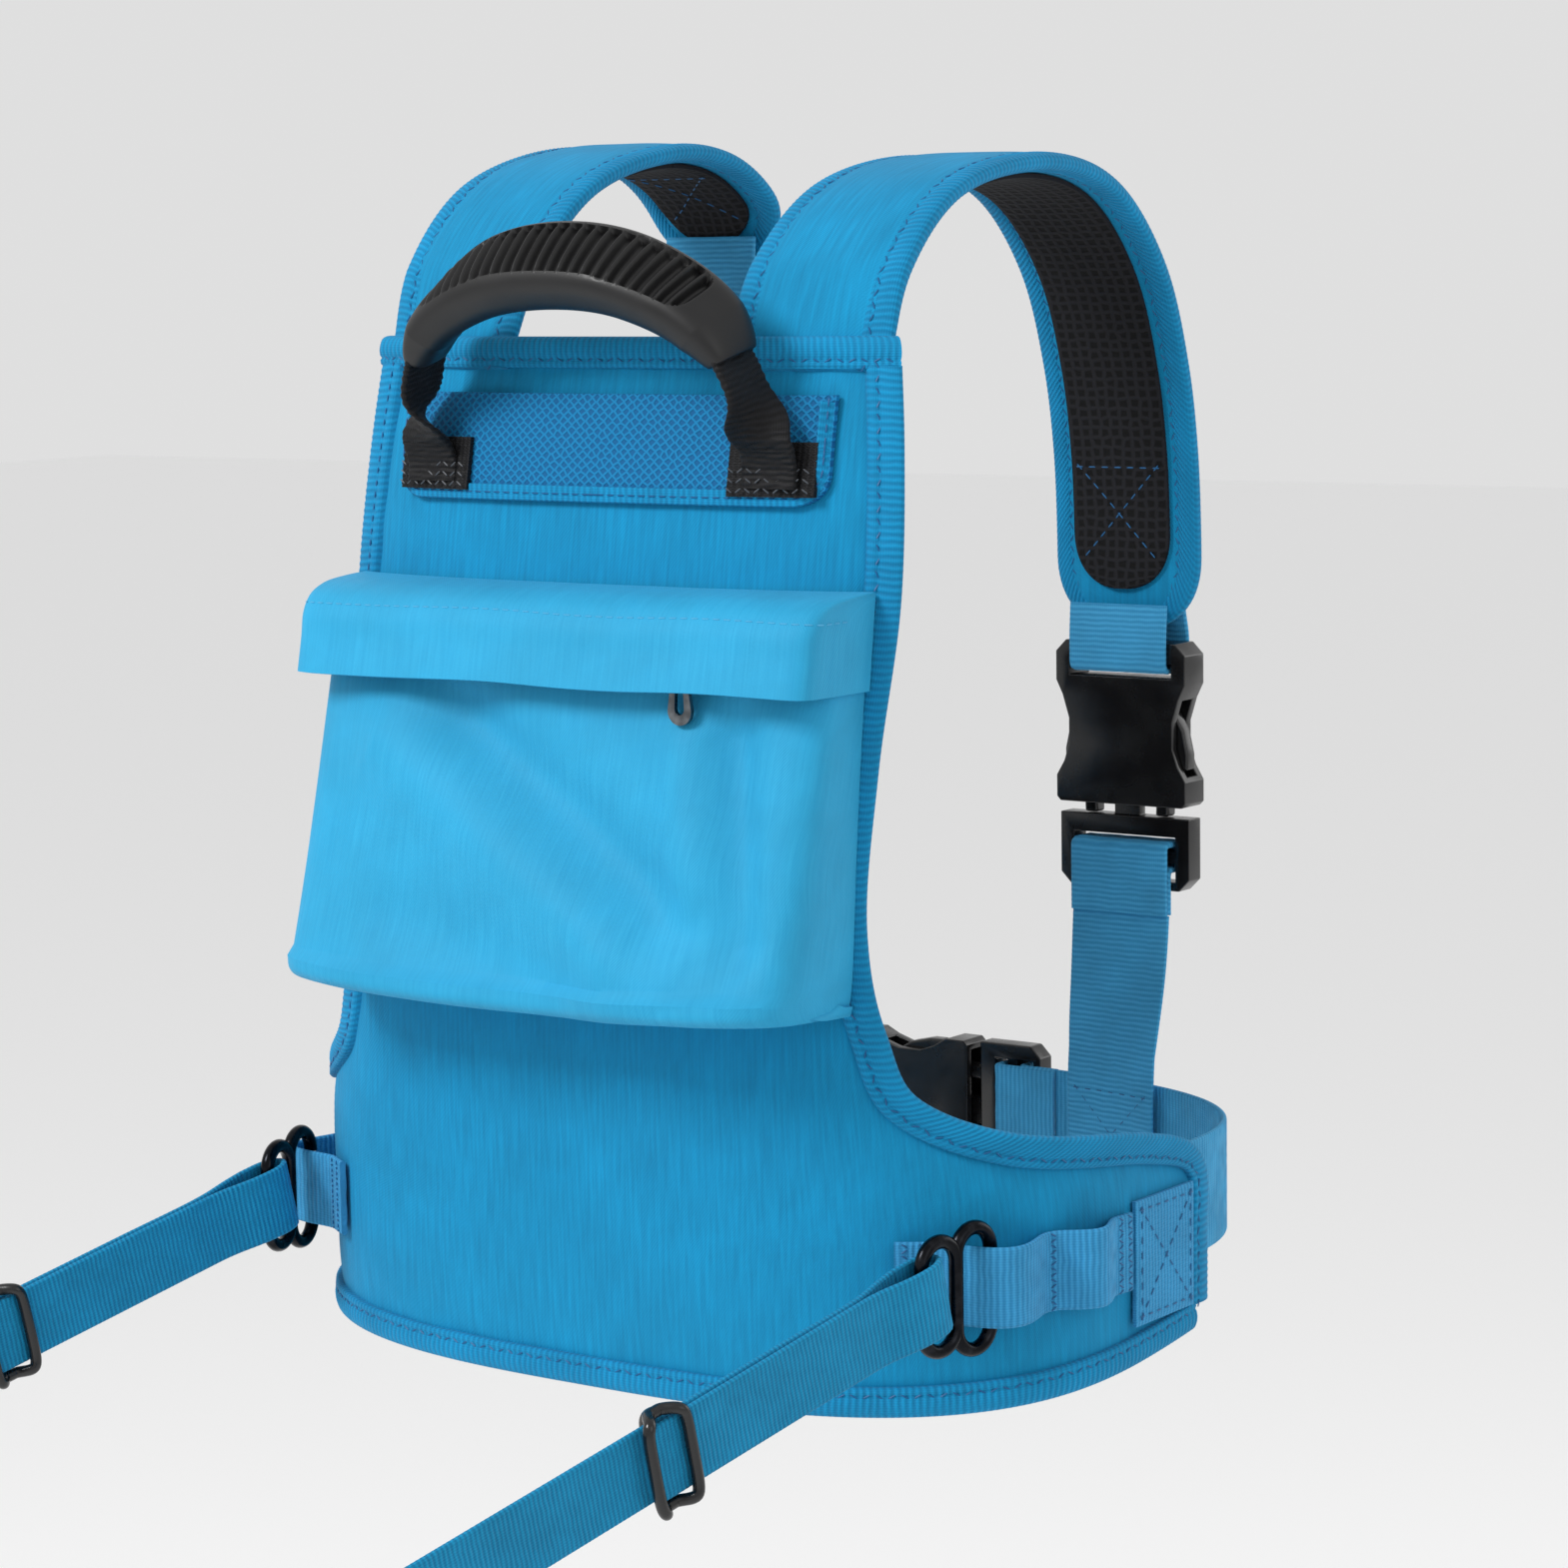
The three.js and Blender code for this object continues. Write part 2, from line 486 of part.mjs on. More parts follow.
const GRIP_CROWN = 0.86;        // how round the grip's section is, 1 being an ellipse
const handleTilt = Math.atan2(CREST_OUT, HANDLE_RISE);
const handleAcross = V(0, -Math.cos(handleTilt), -Math.sin(handleTilt));
const wide = (from, to, width, thick, steps) => sheet(steps, 1, (u, v, w) => {
  const t = mix(from, to, u);
  const side = V().crossVectors(handleRoute.getTangentAt(t), handleAcross).normalize();
  const reach = width * Math.min(1, 0.16 + 12 * Math.min(t, 1 - t));
  return handleRoute.getPointAt(t).addScaledVector(handleAcross, (v - 0.5) * reach)
    .addScaledVector(side, (w - 0.5) * thick);
});
piece('handle_webbing', wide(0, 1, HANDLE_WEB, HANDLE_WEB_THICK, 40), BLACK_FABRIC);
function gripShell() {
  const route = (t) => mix(LEG_END, 1 - LEG_END, t);
  const tube = sheet(28, 10, (u, v, w) => {
    const t = route(u);
    const side = V().crossVectors(handleRoute.getTangentAt(t), handleAcross).normalize();
    const spread = (v - 0.5) * 2;
    const round = Math.sqrt(1 - GRIP_CROWN * spread ** 2);
    return handleRoute.getPointAt(t).addScaledVector(handleAcross, spread * GRIP_HALF)
      .addScaledVector(side, (w - 0.5) * 2 * GRIP_RADIUS * round);
  });
  return cut(tube, wide(0, 1, HANDLE_WEB + 2 * GAP, HANDLE_WEB_THICK + 2 * GAP, 60));
}
piece('handle_grip', gripShell(), RUBBER);

// ---- pocket -----------------------------------------------------------------------------------
const pocketDepth = (z) => mix(POCKET_DEPTH_LOW, POCKET_DEPTH_TOP,
  THREE.MathUtils.clamp((z - POCKET_BOTTOM) / (POCKET_TOP - POCKET_BOTTOM), 0, 1) ** 0.8);
const POCKET_SEAT = BINDING_PROUD + 0.7;     // clears the bindings that the pocket crosses
/** The back's surface at a distance off it, with only a share of its curve across. */
const flatter = (x, z, out, share) => V(x, onBack(x * share, z, out).y, z);
const POCKET_FLATNESS = 0.6;    // share of the back's curve that the pocket's face keeps
const CORNER_START = 0.85;      // where the face starts to fall away, as a share of its half width
const CORNER_FALL = 1.2;
function pocketBlock(inset, top, back) {
  return sheet(20, 8, (u, v, w) => {
    const z = mix(POCKET_BOTTOM + inset, top, v);
    const x = (u - 0.5) * 2 * (POCKET_HALF - inset);
    const deep = pocketDepth(z) - inset;
    const corner = 1 - Math.max(0, Math.abs(u - 0.5) * 2 - CORNER_START) * CORNER_FALL;
    const seat = onBack(x, z, back);
    return seat.lerp(flatter(x, z, POCKET_SEAT + deep * corner, POCKET_FLATNESS), w);
  });
}
piece('pocket_bag', cut(pocketBlock(0, POCKET_TOP, POCKET_SEAT),
  pocketBlock(POCKET_WALL, POCKET_TOP + 5, POCKET_SEAT + POCKET_WALL)), LIGHT_BLUE);
const ZIP_TALL = 5;
const zipOut = POCKET_SEAT + POCKET_DEPTH_TOP;
const zipY = onBack(0, POCKET_TOP, zipOut).y;      // the zip runs straight across
const zipHalf = POCKET_HALF - 6;
piece('zip_tape', box(-zipHalf, zipHalf, zipY, zipY + POCKET_WALL,
  POCKET_TOP + GAP, POCKET_TOP + GAP + ZIP_TALL), BLACK_FABRIC);
const ZIP_X = 53;
const SLIDER_WIDE = 9;
const SLIDER_TALL = 7;
const SLIDER_THICK = 2.6;
const NOSE_TALL = 2.5;          // the slider's nose, which the puller hangs from
const PULLER_THICK = 1.6;
const PULLER_DROP = 18;
const PULLER_CLEAR = 4.84;      // puller's middle, off the pocket's face behind its lower end
const PULLER_OUT = pocketDepth(POCKET_TOP - PULLER_DROP - 1) - POCKET_DEPTH_TOP + PULLER_CLEAR;
const sliderLow = POCKET_TOP + GAP;
const fromFace = (x0, x1, out0, out1, z0, z1) => box(x0, x1, zipY - out1, zipY - out0, z0, z1);
const sliderLeft = ZIP_X - SLIDER_WIDE / 2;
const sliderRight = ZIP_X + SLIDER_WIDE / 2;
piece('zip_slider', join(
  fromFace(sliderLeft, sliderRight, 2 * GAP, SLIDER_THICK, sliderLow, sliderLow + SLIDER_TALL),
  fromFace(ZIP_X - 2, ZIP_X + 2, SLIDER_THICK - 0.5, PULLER_OUT + PULLER_THICK / 2,
    sliderLow, sliderLow + NOSE_TALL)), METAL);
const EYE_RADIUS = 2.6;         // the puller's rounded top, about its pivot
const PULLER_HALF = 4.4;        // half width of the puller's round lower end
const pivotZ = sliderLow - GAP - EYE_RADIUS;
const puller = new THREE.Shape();
puller.absarc(0, 0, EYE_RADIUS, 0, Math.PI, false);
puller.lineTo(-PULLER_HALF, -PULLER_DROP * 0.65);
puller.absarc(0, -PULLER_DROP * 0.65, PULLER_HALF, Math.PI, 2 * Math.PI, false);
const slot = new THREE.Path();
slot.absarc(0, -5, 1.5, 0, Math.PI, false);
slot.absarc(0, -PULLER_DROP * 0.62, 1.8, Math.PI, 2 * Math.PI, false);
puller.holes = [slot];
const pull = new THREE.ExtrudeGeometry(puller,
  { depth: PULLER_THICK, bevelEnabled: false, curveSegments: 6 });
pull.rotateX(Math.PI / 2).translate(ZIP_X, zipY - PULLER_OUT + PULLER_THICK / 2, pivotZ);
piece('zip_puller', pull, METAL);
const flapOut = zipOut + PULLER_OUT + PULLER_THICK / 2 + 1.6;
piece('pocket_flap', sheet(20, 8, (u, v, w) => {
  const z = mix(FLAP_BOTTOM, FLAP_TOP, v);
  const out = mix(flapOut, POCKET_SEAT, v ** 4);
  return flatter((u - 0.5) * 2 * (POCKET_HALF + 1), z, out + w * FLAP_THICK,
    mix(POCKET_FLATNESS / 2, 1, v ** 4));
}), LIGHT_BLUE);

// ---- side loops, hooks and leashes --------------------------------------------------------------
const LOOP_Z = -6;              // height of the side loops' middle
const LOOP_START = 49;          // degrees from the middle of the back
const LOOP_STOP = 81;
const HOOK_ANGLE = 57;
const HOOK_BULGE = 11;
const APEX_AHEAD = 3;           // the loop's top lies this many degrees forward of the hook
const SECOND_ANGLE = 73;
const bump = (angle, middle, spread) =>
  Math.max(0, 1 - ((angle - middle) / spread) ** 2) ** 2;
const LOOP_SEAT = 0.9;          // the loops' webbing off the panel where it is sewn down
const loopOut = (angle) => LOOP_SEAT + HOOK_BULGE * bump(angle, HOOK_ANGLE + APEX_AHEAD, 7.5)
  + 6 * bump(angle, SECOND_ANGLE, 5);
const hookTurn = 78 * RAD;      // the hook's flat, from straight across towards the front
const HOOK_PULL = 2;            // the leash draws the hook's gate side against the loop by this
const HOOK_PITCH = HOOK_EYE + HOOK_BAR;

/** An eye's outline: a tall rounded slot of a clear height, or the same grown by the bar. */
function eye(middle, clear, grow) {
  const points = [];
  const r = HOOK_EYE / 2 + grow;
  const straight = (clear - HOOK_EYE) / 2;
  for (let i = 0; i <= 16; i++) {
    const a = (i / 16) * Math.PI;
    points.push([middle + r * Math.cos(a), straight + r * Math.sin(a)]);
  }
  for (let i = 0; i <= 16; i++) {
    const a = Math.PI + (i / 16) * Math.PI;
    points.push([middle + r * Math.cos(a), -straight + r * Math.sin(a)]);
  }
  return points;
}
const GATE_HALF = 11;           // half the height of the gate's opening
const GATE_MIDDLE = HOOK_EYE / 2 + HOOK_BAR / 2;
function hookFrame() {
  const through = 2 * HOOK_BAR;
  const body = join(plate(eye(0, TALL_EYE, HOOK_BAR), HOOK_BAR),
    plate(eye(-HOOK_PITCH, SHORT_EYE, HOOK_BAR), HOOK_BAR));
  return cut(body, plate(eye(0, TALL_EYE, 0), through),
    plate(eye(-HOOK_PITCH, SHORT_EYE, 0), through),
    box(GATE_MIDDLE - HOOK_BAR, GATE_MIDDLE + HOOK_BAR, -GATE_HALF, GATE_HALF, -through, through));
}

/** The gate: straight up to its tip, with a round foot about its pivot. */
function hookGate() {
  const r = HOOK_BAR / 2 - 0.2;
  const foot = -GATE_HALF + GAP + r;
  const points = [[GATE_MIDDLE + r, GATE_HALF - GAP], [GATE_MIDDLE - r, GATE_HALF - GAP]];
  for (let i = 0; i <= 8; i++) {
    const a = Math.PI + (i / 8) * Math.PI;
    points.push([GATE_MIDDLE + r * Math.cos(a), foot + r * Math.sin(a)]);
  }
  return plate(points, 2 * r);
}
const PATCH_TALL = 40;
const PATCH_WIDE = 36;
const PATCH_OUT = 1.8;
const PATCH_Y = -3;
const PATCH_Z = -11;
const leashDirection = V(-0.14, -0.965, -0.215).normalize();
const leashAcross = V(0, 0, 1).addScaledVector(leashDirection, -leashDirection.z).normalize();
const WRAP = HOOK_BAR - 0.765 + NARROW_THICK / 2 + GAP;     // half the wrap's opening
const WRAP_REACH = HOOK_BAR + 6.7;      // how far the wrap's curve is pulled into the eye
const SLIDER_AT = 112;          // slider's middle, from the hook's bar
const SLIDER_HALF = [16, 9.5];  // half the slider's width and height
const SLIDER_WALL = 1.5;
const JOIN_AT = 26;             // where the wrap's two leaves have come together
const WRAP_START = 5;           // where the sewn wrap ends and the leash's own stretch starts
const HAND_OPEN = 17;           // half the hand loop's opening
const HAND_NECK = 12;           // where the hand loop starts to open
const HAND_WIDE = 52;           // where it is widest
const HAND_TAIL = 18;           // sewn back on the leash by this

for (const [side, sign] of [['right', 1], ['left', -1]]) {
  piece(`side_patch_${side}`, new THREE.BoxGeometry(PATCH_OUT, PATCH_WIDE, PATCH_TALL)
    .translate(sign * (HALF_WIDTH + GAP + PATCH_OUT / 2), PATCH_Y, PATCH_Z), WEBBING);
  piece(`side_loops_${side}`, sheet(56, 1, (u, v, w) => {
    const angle = mix(LOOP_START, LOOP_STOP, u);
    return around(sign * angle * RAD, LOOP_Z + (v - 0.5) * NARROW_WEB,
      loopOut(angle) + w * NARROW_THICK);
  }), WEBBING);

  const eyeAt = around(sign * HOOK_ANGLE * RAD, LOOP_Z, loopOut(HOOK_ANGLE) + NARROW_THICK / 2);
  const hook = new THREE.Group();
  const along = V(sign * Math.cos(hookTurn), Math.sin(hookTurn), 0);
  eyeAt.addScaledVector(along, -HOOK_PULL);
  hook.position.copy(eyeAt);
  const basis = new THREE.Matrix4().makeBasis(along, V(0, 0, 1), V().crossVectors(along, V(0, 0, 1)));
  hook.setRotationFromMatrix(basis);
  vest.add(hook);
  piece(`hook_frame_${side}`, hookFrame(), METAL, hook);
  piece(`hook_gate_${side}`, hookGate(), METAL, hook);

  // The leash's webbing goes round the short eye's outer bar and back to the slider.
  const bar = eyeAt.clone().addScaledVector(along, -HOOK_PITCH - HOOK_EYE / 2 - HOOK_BAR / 2);
  const face = V().crossVectors(leashDirection, leashAcross).normalize();
  const point = (far, off) => bar.clone().addScaledVector(leashDirection, far)
    .addScaledVector(face, off);
  const leaf = NARROW_THICK / 2 + 1.5 * GAP;
  const wrap = new THREE.CurvePath();
  wrap.add(new THREE.LineCurve3(point(SLIDER_AT + 4, -leaf), point(JOIN_AT, -leaf)));
  wrap.add(new THREE.CubicBezierCurve3(point(JOIN_AT, -leaf), point(14, -leaf), point(12, -WRAP),
    point(0, -WRAP)));
  wrap.add(new THREE.CubicBezierCurve3(point(0, -WRAP), point(-WRAP_REACH, -WRAP),
    point(-WRAP_REACH, WRAP), point(0, WRAP)));
  wrap.add(new THREE.LineCurve3(point(0, WRAP), point(WRAP_START, WRAP)));
  piece(`leash_return_${side}`, ribbon(wrap, 50, leashAcross, LEASH_WEB, NARROW_THICK), LEASH_BLUE);

  const route = new THREE.CatmullRomCurve3([point(WRAP_START + GAP, WRAP), point(12, WRAP * 0.8),
    point(JOIN_AT, leaf), point(60, leaf), point(120, leaf), point(200, leaf),
    point(LEASH_LENGTH, leaf)]);
  const section = new THREE.Shape();
  const edge = LEASH_WEB / 2;
  const thin = NARROW_THICK / 2;
  const ring = [[edge, 0.5], [edge - 1, thin], [0, thin], [1 - edge, thin], [-edge, 0.5],
    [-edge, -0.5], [1 - edge, -thin], [0, -thin], [edge - 1, -thin], [edge, -0.5]];
  ring.forEach(([a, b], i) => (i ? section.lineTo(b, a) : section.moveTo(b, a)));
  section.closePath();
  const strap = new THREE.ExtrudeGeometry(section, { steps: 40, extrudePath: route });
  piece(`leash_${side}`, strap, LEASH_BLUE);

  const clip = new THREE.Group();
  clip.position.copy(point(SLIDER_AT, 0));
  clip.setRotationFromMatrix(new THREE.Matrix4().makeBasis(leashAcross, leashDirection,
    V().crossVectors(leashAcross, leashDirection)));
  vest.add(clip);
  const stack = leaf + NARROW_THICK / 2 + 2 * GAP;
  const [wideHalf, tallHalf] = SLIDER_HALF;
  const outer = stack + SLIDER_WALL;
  piece(`leash_slider_${side}`, cut(box(-wideHalf, wideHalf, -tallHalf, tallHalf, -outer, outer),
    box(-LEASH_WEB / 2 - 1, LEASH_WEB / 2 + 1, -tallHalf - 1, tallHalf + 1, -stack, stack)),
  PLASTIC, clip);

  // Hand loop: the webbing's end, opened out and sewn back on itself.
  const loop = new THREE.CurvePath();
  const tail = NARROW_THICK + 3 * GAP;
  const at = (far, off) => point(LEASH_LENGTH + GAP + far, leaf + off);
  const bend = (a, b, c, d) => loop.add(new THREE.CubicBezierCurve3(a, b, c, d));
  loop.add(new THREE.LineCurve3(at(0, 0), at(HAND_NECK, 0)));
  bend(at(HAND_NECK, 0), at(30, 0), at(34, HAND_OPEN), at(HAND_WIDE, HAND_OPEN));
  bend(at(HAND_WIDE, HAND_OPEN), at(HAND_LOOP + 10, HAND_OPEN), at(HAND_LOOP + 10, -HAND_OPEN),
    at(HAND_WIDE, -HAND_OPEN));
  bend(at(HAND_WIDE, -HAND_OPEN), at(34, -HAND_OPEN), at(30, -tail), at(HAND_NECK, -tail));
  loop.add(new THREE.LineCurve3(at(HAND_NECK, -tail), at(-HAND_TAIL, -tail)));
  piece(`hand_loop_${side}`, ribbon(loop, 50, leashAcross, LEASH_WEB, NARROW_THICK), LEASH_BLUE);
}

export default vest;
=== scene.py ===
"""A child's safety harness vest, worn on no one: padded back panel, shoulder straps, belt with side
release buckles, lifting handle, zipped pocket and clip-on leashes. Metres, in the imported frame:
+X is the wearer's right, +Y the wearer's front, +Z up, and Z = 0 is the belt's middle line."""
from math import cos, pi, radians, sin

import bmesh
import bpy
import numpy as np
from mathutils import Matrix, Vector


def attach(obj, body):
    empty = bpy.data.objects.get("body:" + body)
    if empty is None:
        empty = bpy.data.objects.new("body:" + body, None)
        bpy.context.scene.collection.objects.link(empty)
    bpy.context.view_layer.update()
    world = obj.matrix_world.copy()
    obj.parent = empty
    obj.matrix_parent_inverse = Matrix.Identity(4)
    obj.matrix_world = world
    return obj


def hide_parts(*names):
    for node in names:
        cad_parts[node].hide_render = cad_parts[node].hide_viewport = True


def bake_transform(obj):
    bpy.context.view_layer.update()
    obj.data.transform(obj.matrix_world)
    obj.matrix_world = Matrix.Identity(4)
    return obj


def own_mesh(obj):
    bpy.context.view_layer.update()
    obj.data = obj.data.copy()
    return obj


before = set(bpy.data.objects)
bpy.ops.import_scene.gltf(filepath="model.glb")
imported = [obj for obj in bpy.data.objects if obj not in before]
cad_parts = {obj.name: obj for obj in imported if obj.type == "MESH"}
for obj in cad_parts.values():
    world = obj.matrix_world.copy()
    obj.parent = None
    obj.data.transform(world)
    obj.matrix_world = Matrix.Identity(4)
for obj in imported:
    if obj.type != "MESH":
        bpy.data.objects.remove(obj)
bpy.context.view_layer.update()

MM = 0.001

# ---- camera, lights and floor ---------------------------------------------------------------------
# A product studio: the vest hangs in white light over a pale floor, with a big soft lamp up on the
# left, a smaller one on the right and a low one in front that shows the inside of the straps.
AZIMUTH, PITCH, ROLL = radians(35.426), radians(7.208), radians(-0.884)
TARGET_Z, TARGET_RIGHT, DISTANCE = 0.12866, 0.00312, 1.4281
LENS = 98.86
level_right = Vector((cos(AZIMUTH), sin(AZIMUTH), 0))
forward = Vector((-sin(AZIMUTH) * cos(PITCH), cos(AZIMUTH) * cos(PITCH), -sin(PITCH)))
level_up = level_right.cross(forward)
camera_right = level_right * cos(ROLL) + level_up * sin(ROLL)
camera_up = level_up * cos(ROLL) - level_right * sin(ROLL)
camera = bpy.data.objects.new("camera", bpy.data.cameras.new("camera"))
camera.data.lens = LENS
eye = Vector((0, 0, TARGET_Z)) + level_right * TARGET_RIGHT - forward * DISTANCE
turn = Matrix((camera_right, camera_up, -forward)).transposed()
camera.matrix_world = Matrix.Translation(eye) @ turn.to_4x4()
bpy.context.collection.objects.link(camera)
bpy.context.scene.camera = camera


def linear(code):
    """An sRGB hex colour as linear light: ((c + 0.055) / 1.055) ^ 2.4, or c / 12.92 near black."""
    shares = [int(code[i:i + 2], 16) / 255 for i in (1, 3, 5)]
    return [*(((c + 0.055) / 1.055) ** 2.4 if c > 0.04 else c / 12.92 for c in shares), 1]


def add(tree, kind, sockets=None, **settings):
    """Adds a node of a kind, with its properties; a socket takes a value, or another node's output."""
    node = tree.nodes.new("ShaderNode" + kind)
    for name, value in settings.items():
        setattr(node, name, value)
    for socket, value in (sockets or {}).items():
        if isinstance(value, bpy.types.NodeSocket):
            tree.links.new(value, node.inputs[socket])
        else:
            node.inputs[socket].default_value = value
    return node


def lamp(name, power, size, place, aim):
    """A square area light of a power in watts, at a place and turned towards a point."""
    light = bpy.data.lights.new(name, "AREA")
    light.energy = power
    light.size = size
    holder = bpy.data.objects.new(name, light)
    look = (Vector(aim) - Vector(place)).to_track_quat("-Z", "Y").to_matrix().to_4x4()
    holder.matrix_world = Matrix.Translation(place) @ look
    bpy.context.collection.objects.link(holder)


lamp("key", 27, 0.6, (-0.55, -1.5, 1.35), (0, 0, 0.12))
lamp("fill", 3, 1.0, (1.7, -0.5, 0.7), (0, 0, 0.12))
lamp("front", 4, 0.9, (0.9, 1.4, 0.6), (0, 0, 0.12))
world = bpy.data.worlds.new("studio")
world.use_nodes = True
world.node_tree.nodes["Background"].inputs["Color"].default_value = linear("#ffffff")
world.node_tree.nodes["Background"].inputs["Strength"].default_value = 0.74
bpy.context.scene.world = world
bpy.context.scene.view_settings.view_transform = "Standard"

FLOOR_Z, FLOOR_HALF = -0.55, 12
corners = [(-1, -1), (1, -1), (1, 1), (-1, 1)]
floor_mesh = bpy.data.meshes.new("floor")
floor_mesh.from_pydata([(x * FLOOR_HALF, y * FLOOR_HALF, FLOOR_Z) for x, y in corners], [], [range(4)])
floor = bpy.data.objects.new("floor", floor_mesh)
paper = bpy.data.materials.new("matt_white_paper")
paper.use_nodes = True
paper.node_tree.nodes["Principled BSDF"].inputs["Base Color"].default_value = linear("#fbfbfb")
paper.node_tree.nodes["Principled BSDF"].inputs["Roughness"].default_value = 0.9
floor_mesh.materials.append(paper)
bpy.context.collection.objects.link(floor)

# ---- leashes --------------------------------------------------------------------------------------
# Each leash is a 23 mm polyester tape, woven flat with fine cross ribs. It is folded round the outer
# bar of its hook and comes back through a slider; its end is sewn into a loop for the carer's hand.
LEASH_WIDTH, TAPE_THICK, GAP = 23 * MM, 2 * MM, 0.3 * MM
LEASH_LENGTH, SLIDER_AT, JOIN_AT, WRAP_START = 330 * MM, 112 * MM, 26 * MM, 5 * MM
HOOK_BAR, HOOK_EYE, HOOK_PULL = 4.5 * MM, 10 * MM, 2 * MM
RIB = 1.7 * MM                  # pitch of the tape's cross ribs, drawn coarse enough to show


def unit(vectors):
    """Vectors divided by their own lengths."""
    return vectors / np.maximum(np.linalg.norm(vectors, axis=-1, keepdims=True), 1e-12)


def smooth_line(points, count):
    """A curve through points, evenly spaced: each stretch is the cubic b + ... whose end slopes are
    the Catmull-Rom ones for knots a square root of the distance apart."""
    p = np.asarray(points, float)
    p = np.vstack([2 * p[0] - p[1], p, 2 * p[-1] - p[-2]])
    knot = np.linalg.norm(np.diff(p, axis=0), axis=1, keepdims=True) ** 0.5
    before, here, after = knot[:-2], knot[1:-1], knot[2:]
    a, b, c, d = p[:-3], p[1:-2], p[2:-1], p[3:]
    slope_b = here * ((b - a) / before - (c - a) / (before + here) + (c - b) / here)
    slope_c = here * ((c - b) / here - (d - b) / (here + after) + (d - c) / after)
    t = np.linspace(0, 1, 32, endpoint=False)[:, None, None]
    line = (b * (1 - 3 * t ** 2 + 2 * t ** 3) + c * (3 * t ** 2 - 2 * t ** 3)
            + slope_b * (t - 2 * t ** 2 + t ** 3) + slope_c * (t ** 3 - t ** 2))
    return spaced(np.vstack([line.transpose(1, 0, 2).reshape(-1, p.shape[1]), p[-2]]), count)


def spaced(line, count):
    """The same line with its points evenly spaced along its length."""
    far = np.r_[0, np.cumsum(np.linalg.norm(np.diff(line, axis=0), axis=1))]
    at = np.linspace(0, far[-1], count)
    return np.stack([np.interp(at, far, line[:, k]) for k in range(line.shape[1])], 1)


def length_of(line):
    """The sum of the distances between a line's points."""
    return np.linalg.norm(np.diff(line, axis=0), axis=1).sum()


def grid_faces(rows, columns, wrap_rows=False, wrap_columns=False):
    """The quads of a grid of points: corner (i, j), (i, j + 1), (i + 1, j + 1), (i + 1, j)."""
    i = np.arange(rows if wrap_rows else rows - 1)[:, None]
    j = np.arange(columns if wrap_columns else columns - 1)[None, :]
    down, right = (i + 1) % rows, (j + 1) % columns
    return np.stack([i * columns + j, i * columns + right, down * columns + right,
                     down * columns + j], -1).reshape(-1, 4)


def make(name, points, faces, material, uv=None, sharp=40):
    """A piece at the origin from its points and faces. The signed volume, a sum of corner triple
    products, turns it to face outwards, and edges sharper than `sharp` degrees stay crisp."""
    points, faces = np.asarray(points, float), np.asarray(faces)
    a, b, c = (points[faces[:, k]] for k in (0, 1, 2))
    d = points[faces[:, -1]]
    volume = np.einsum("ij,ij->", a, np.cross(b, c)) + np.einsum("ij,ij->", a, np.cross(c, d))
    if volume < 0:
        faces = faces[:, ::-1]
    mesh = bpy.data.meshes.new(name)
    mesh.from_pydata(points.tolist(), [], faces.tolist())
    if uv is not None:
        layer = mesh.uv_layers.new(name="UVMap")
        layer.data.foreach_set("uv", np.asarray(uv, float)[faces.ravel()].ravel())
    mesh.polygons.foreach_set("use_smooth", np.ones(len(faces), bool))
    mesh.set_sharp_from_angle(angle=radians(sharp))
    mesh.materials.append(material)
    thing = bpy.data.objects.new(name, mesh)
    bpy.context.collection.objects.link(thing)
    return thing


def along(grid, axis):
    """The distance of each of a grid's points from its first one, along one of its axes."""
    steps = np.linalg.norm(np.diff(grid, axis=axis), axis=-1)
    zero = np.zeros_like(np.take(steps, [0], axis=axis))
    return np.concatenate([zero, np.cumsum(steps, axis=axis)], axis=axis)


def tape_section(width, thick, steps=10):
    """A flat tape's section: two straight faces and a half circle at each edge."""
    flat = np.linspace(-1, 1, steps) * (width - thick) / 2
    a = np.linspace(0, pi, 7)[1:-1]
    edge = np.stack([(width - thick) / 2 + np.sin(a) * thick / 2, np.cos(a) * thick / 2], 1)
    top = np.stack([flat, np.full(steps, thick / 2)], 1)
    return np.vstack([top, edge, -top, -edge])


def mixed(name, points, faces, sides, material, uv, sharp):
    """Like make(), for quads with a few triangles; the quads' signed volume gives the direction."""
    a, b, c, d = (points[sides[:, k]] for k in range(4))
    volume = np.einsum("ij,ij->", a, np.cross(b, c)) + np.einsum("ij,ij->", a, np.cross(c, d))
    if volume < 0:
        faces = [f[::-1] for f in faces]
    mesh = bpy.data.meshes.new(name)
    mesh.from_pydata(points.tolist(), [], faces)
    layer = mesh.uv_layers.new(name="UVMap")
    layer.data.foreach_set("uv", uv[np.concatenate(faces)].ravel())
    mesh.polygons.foreach_set("use_smooth", np.ones(len(faces), bool))
    mesh.set_sharp_from_angle(angle=radians(sharp))
    mesh.materials.append(material)
    thing = bpy.data.objects.new(name, mesh)
    bpy.context.collection.objects.link(thing)
    return thing


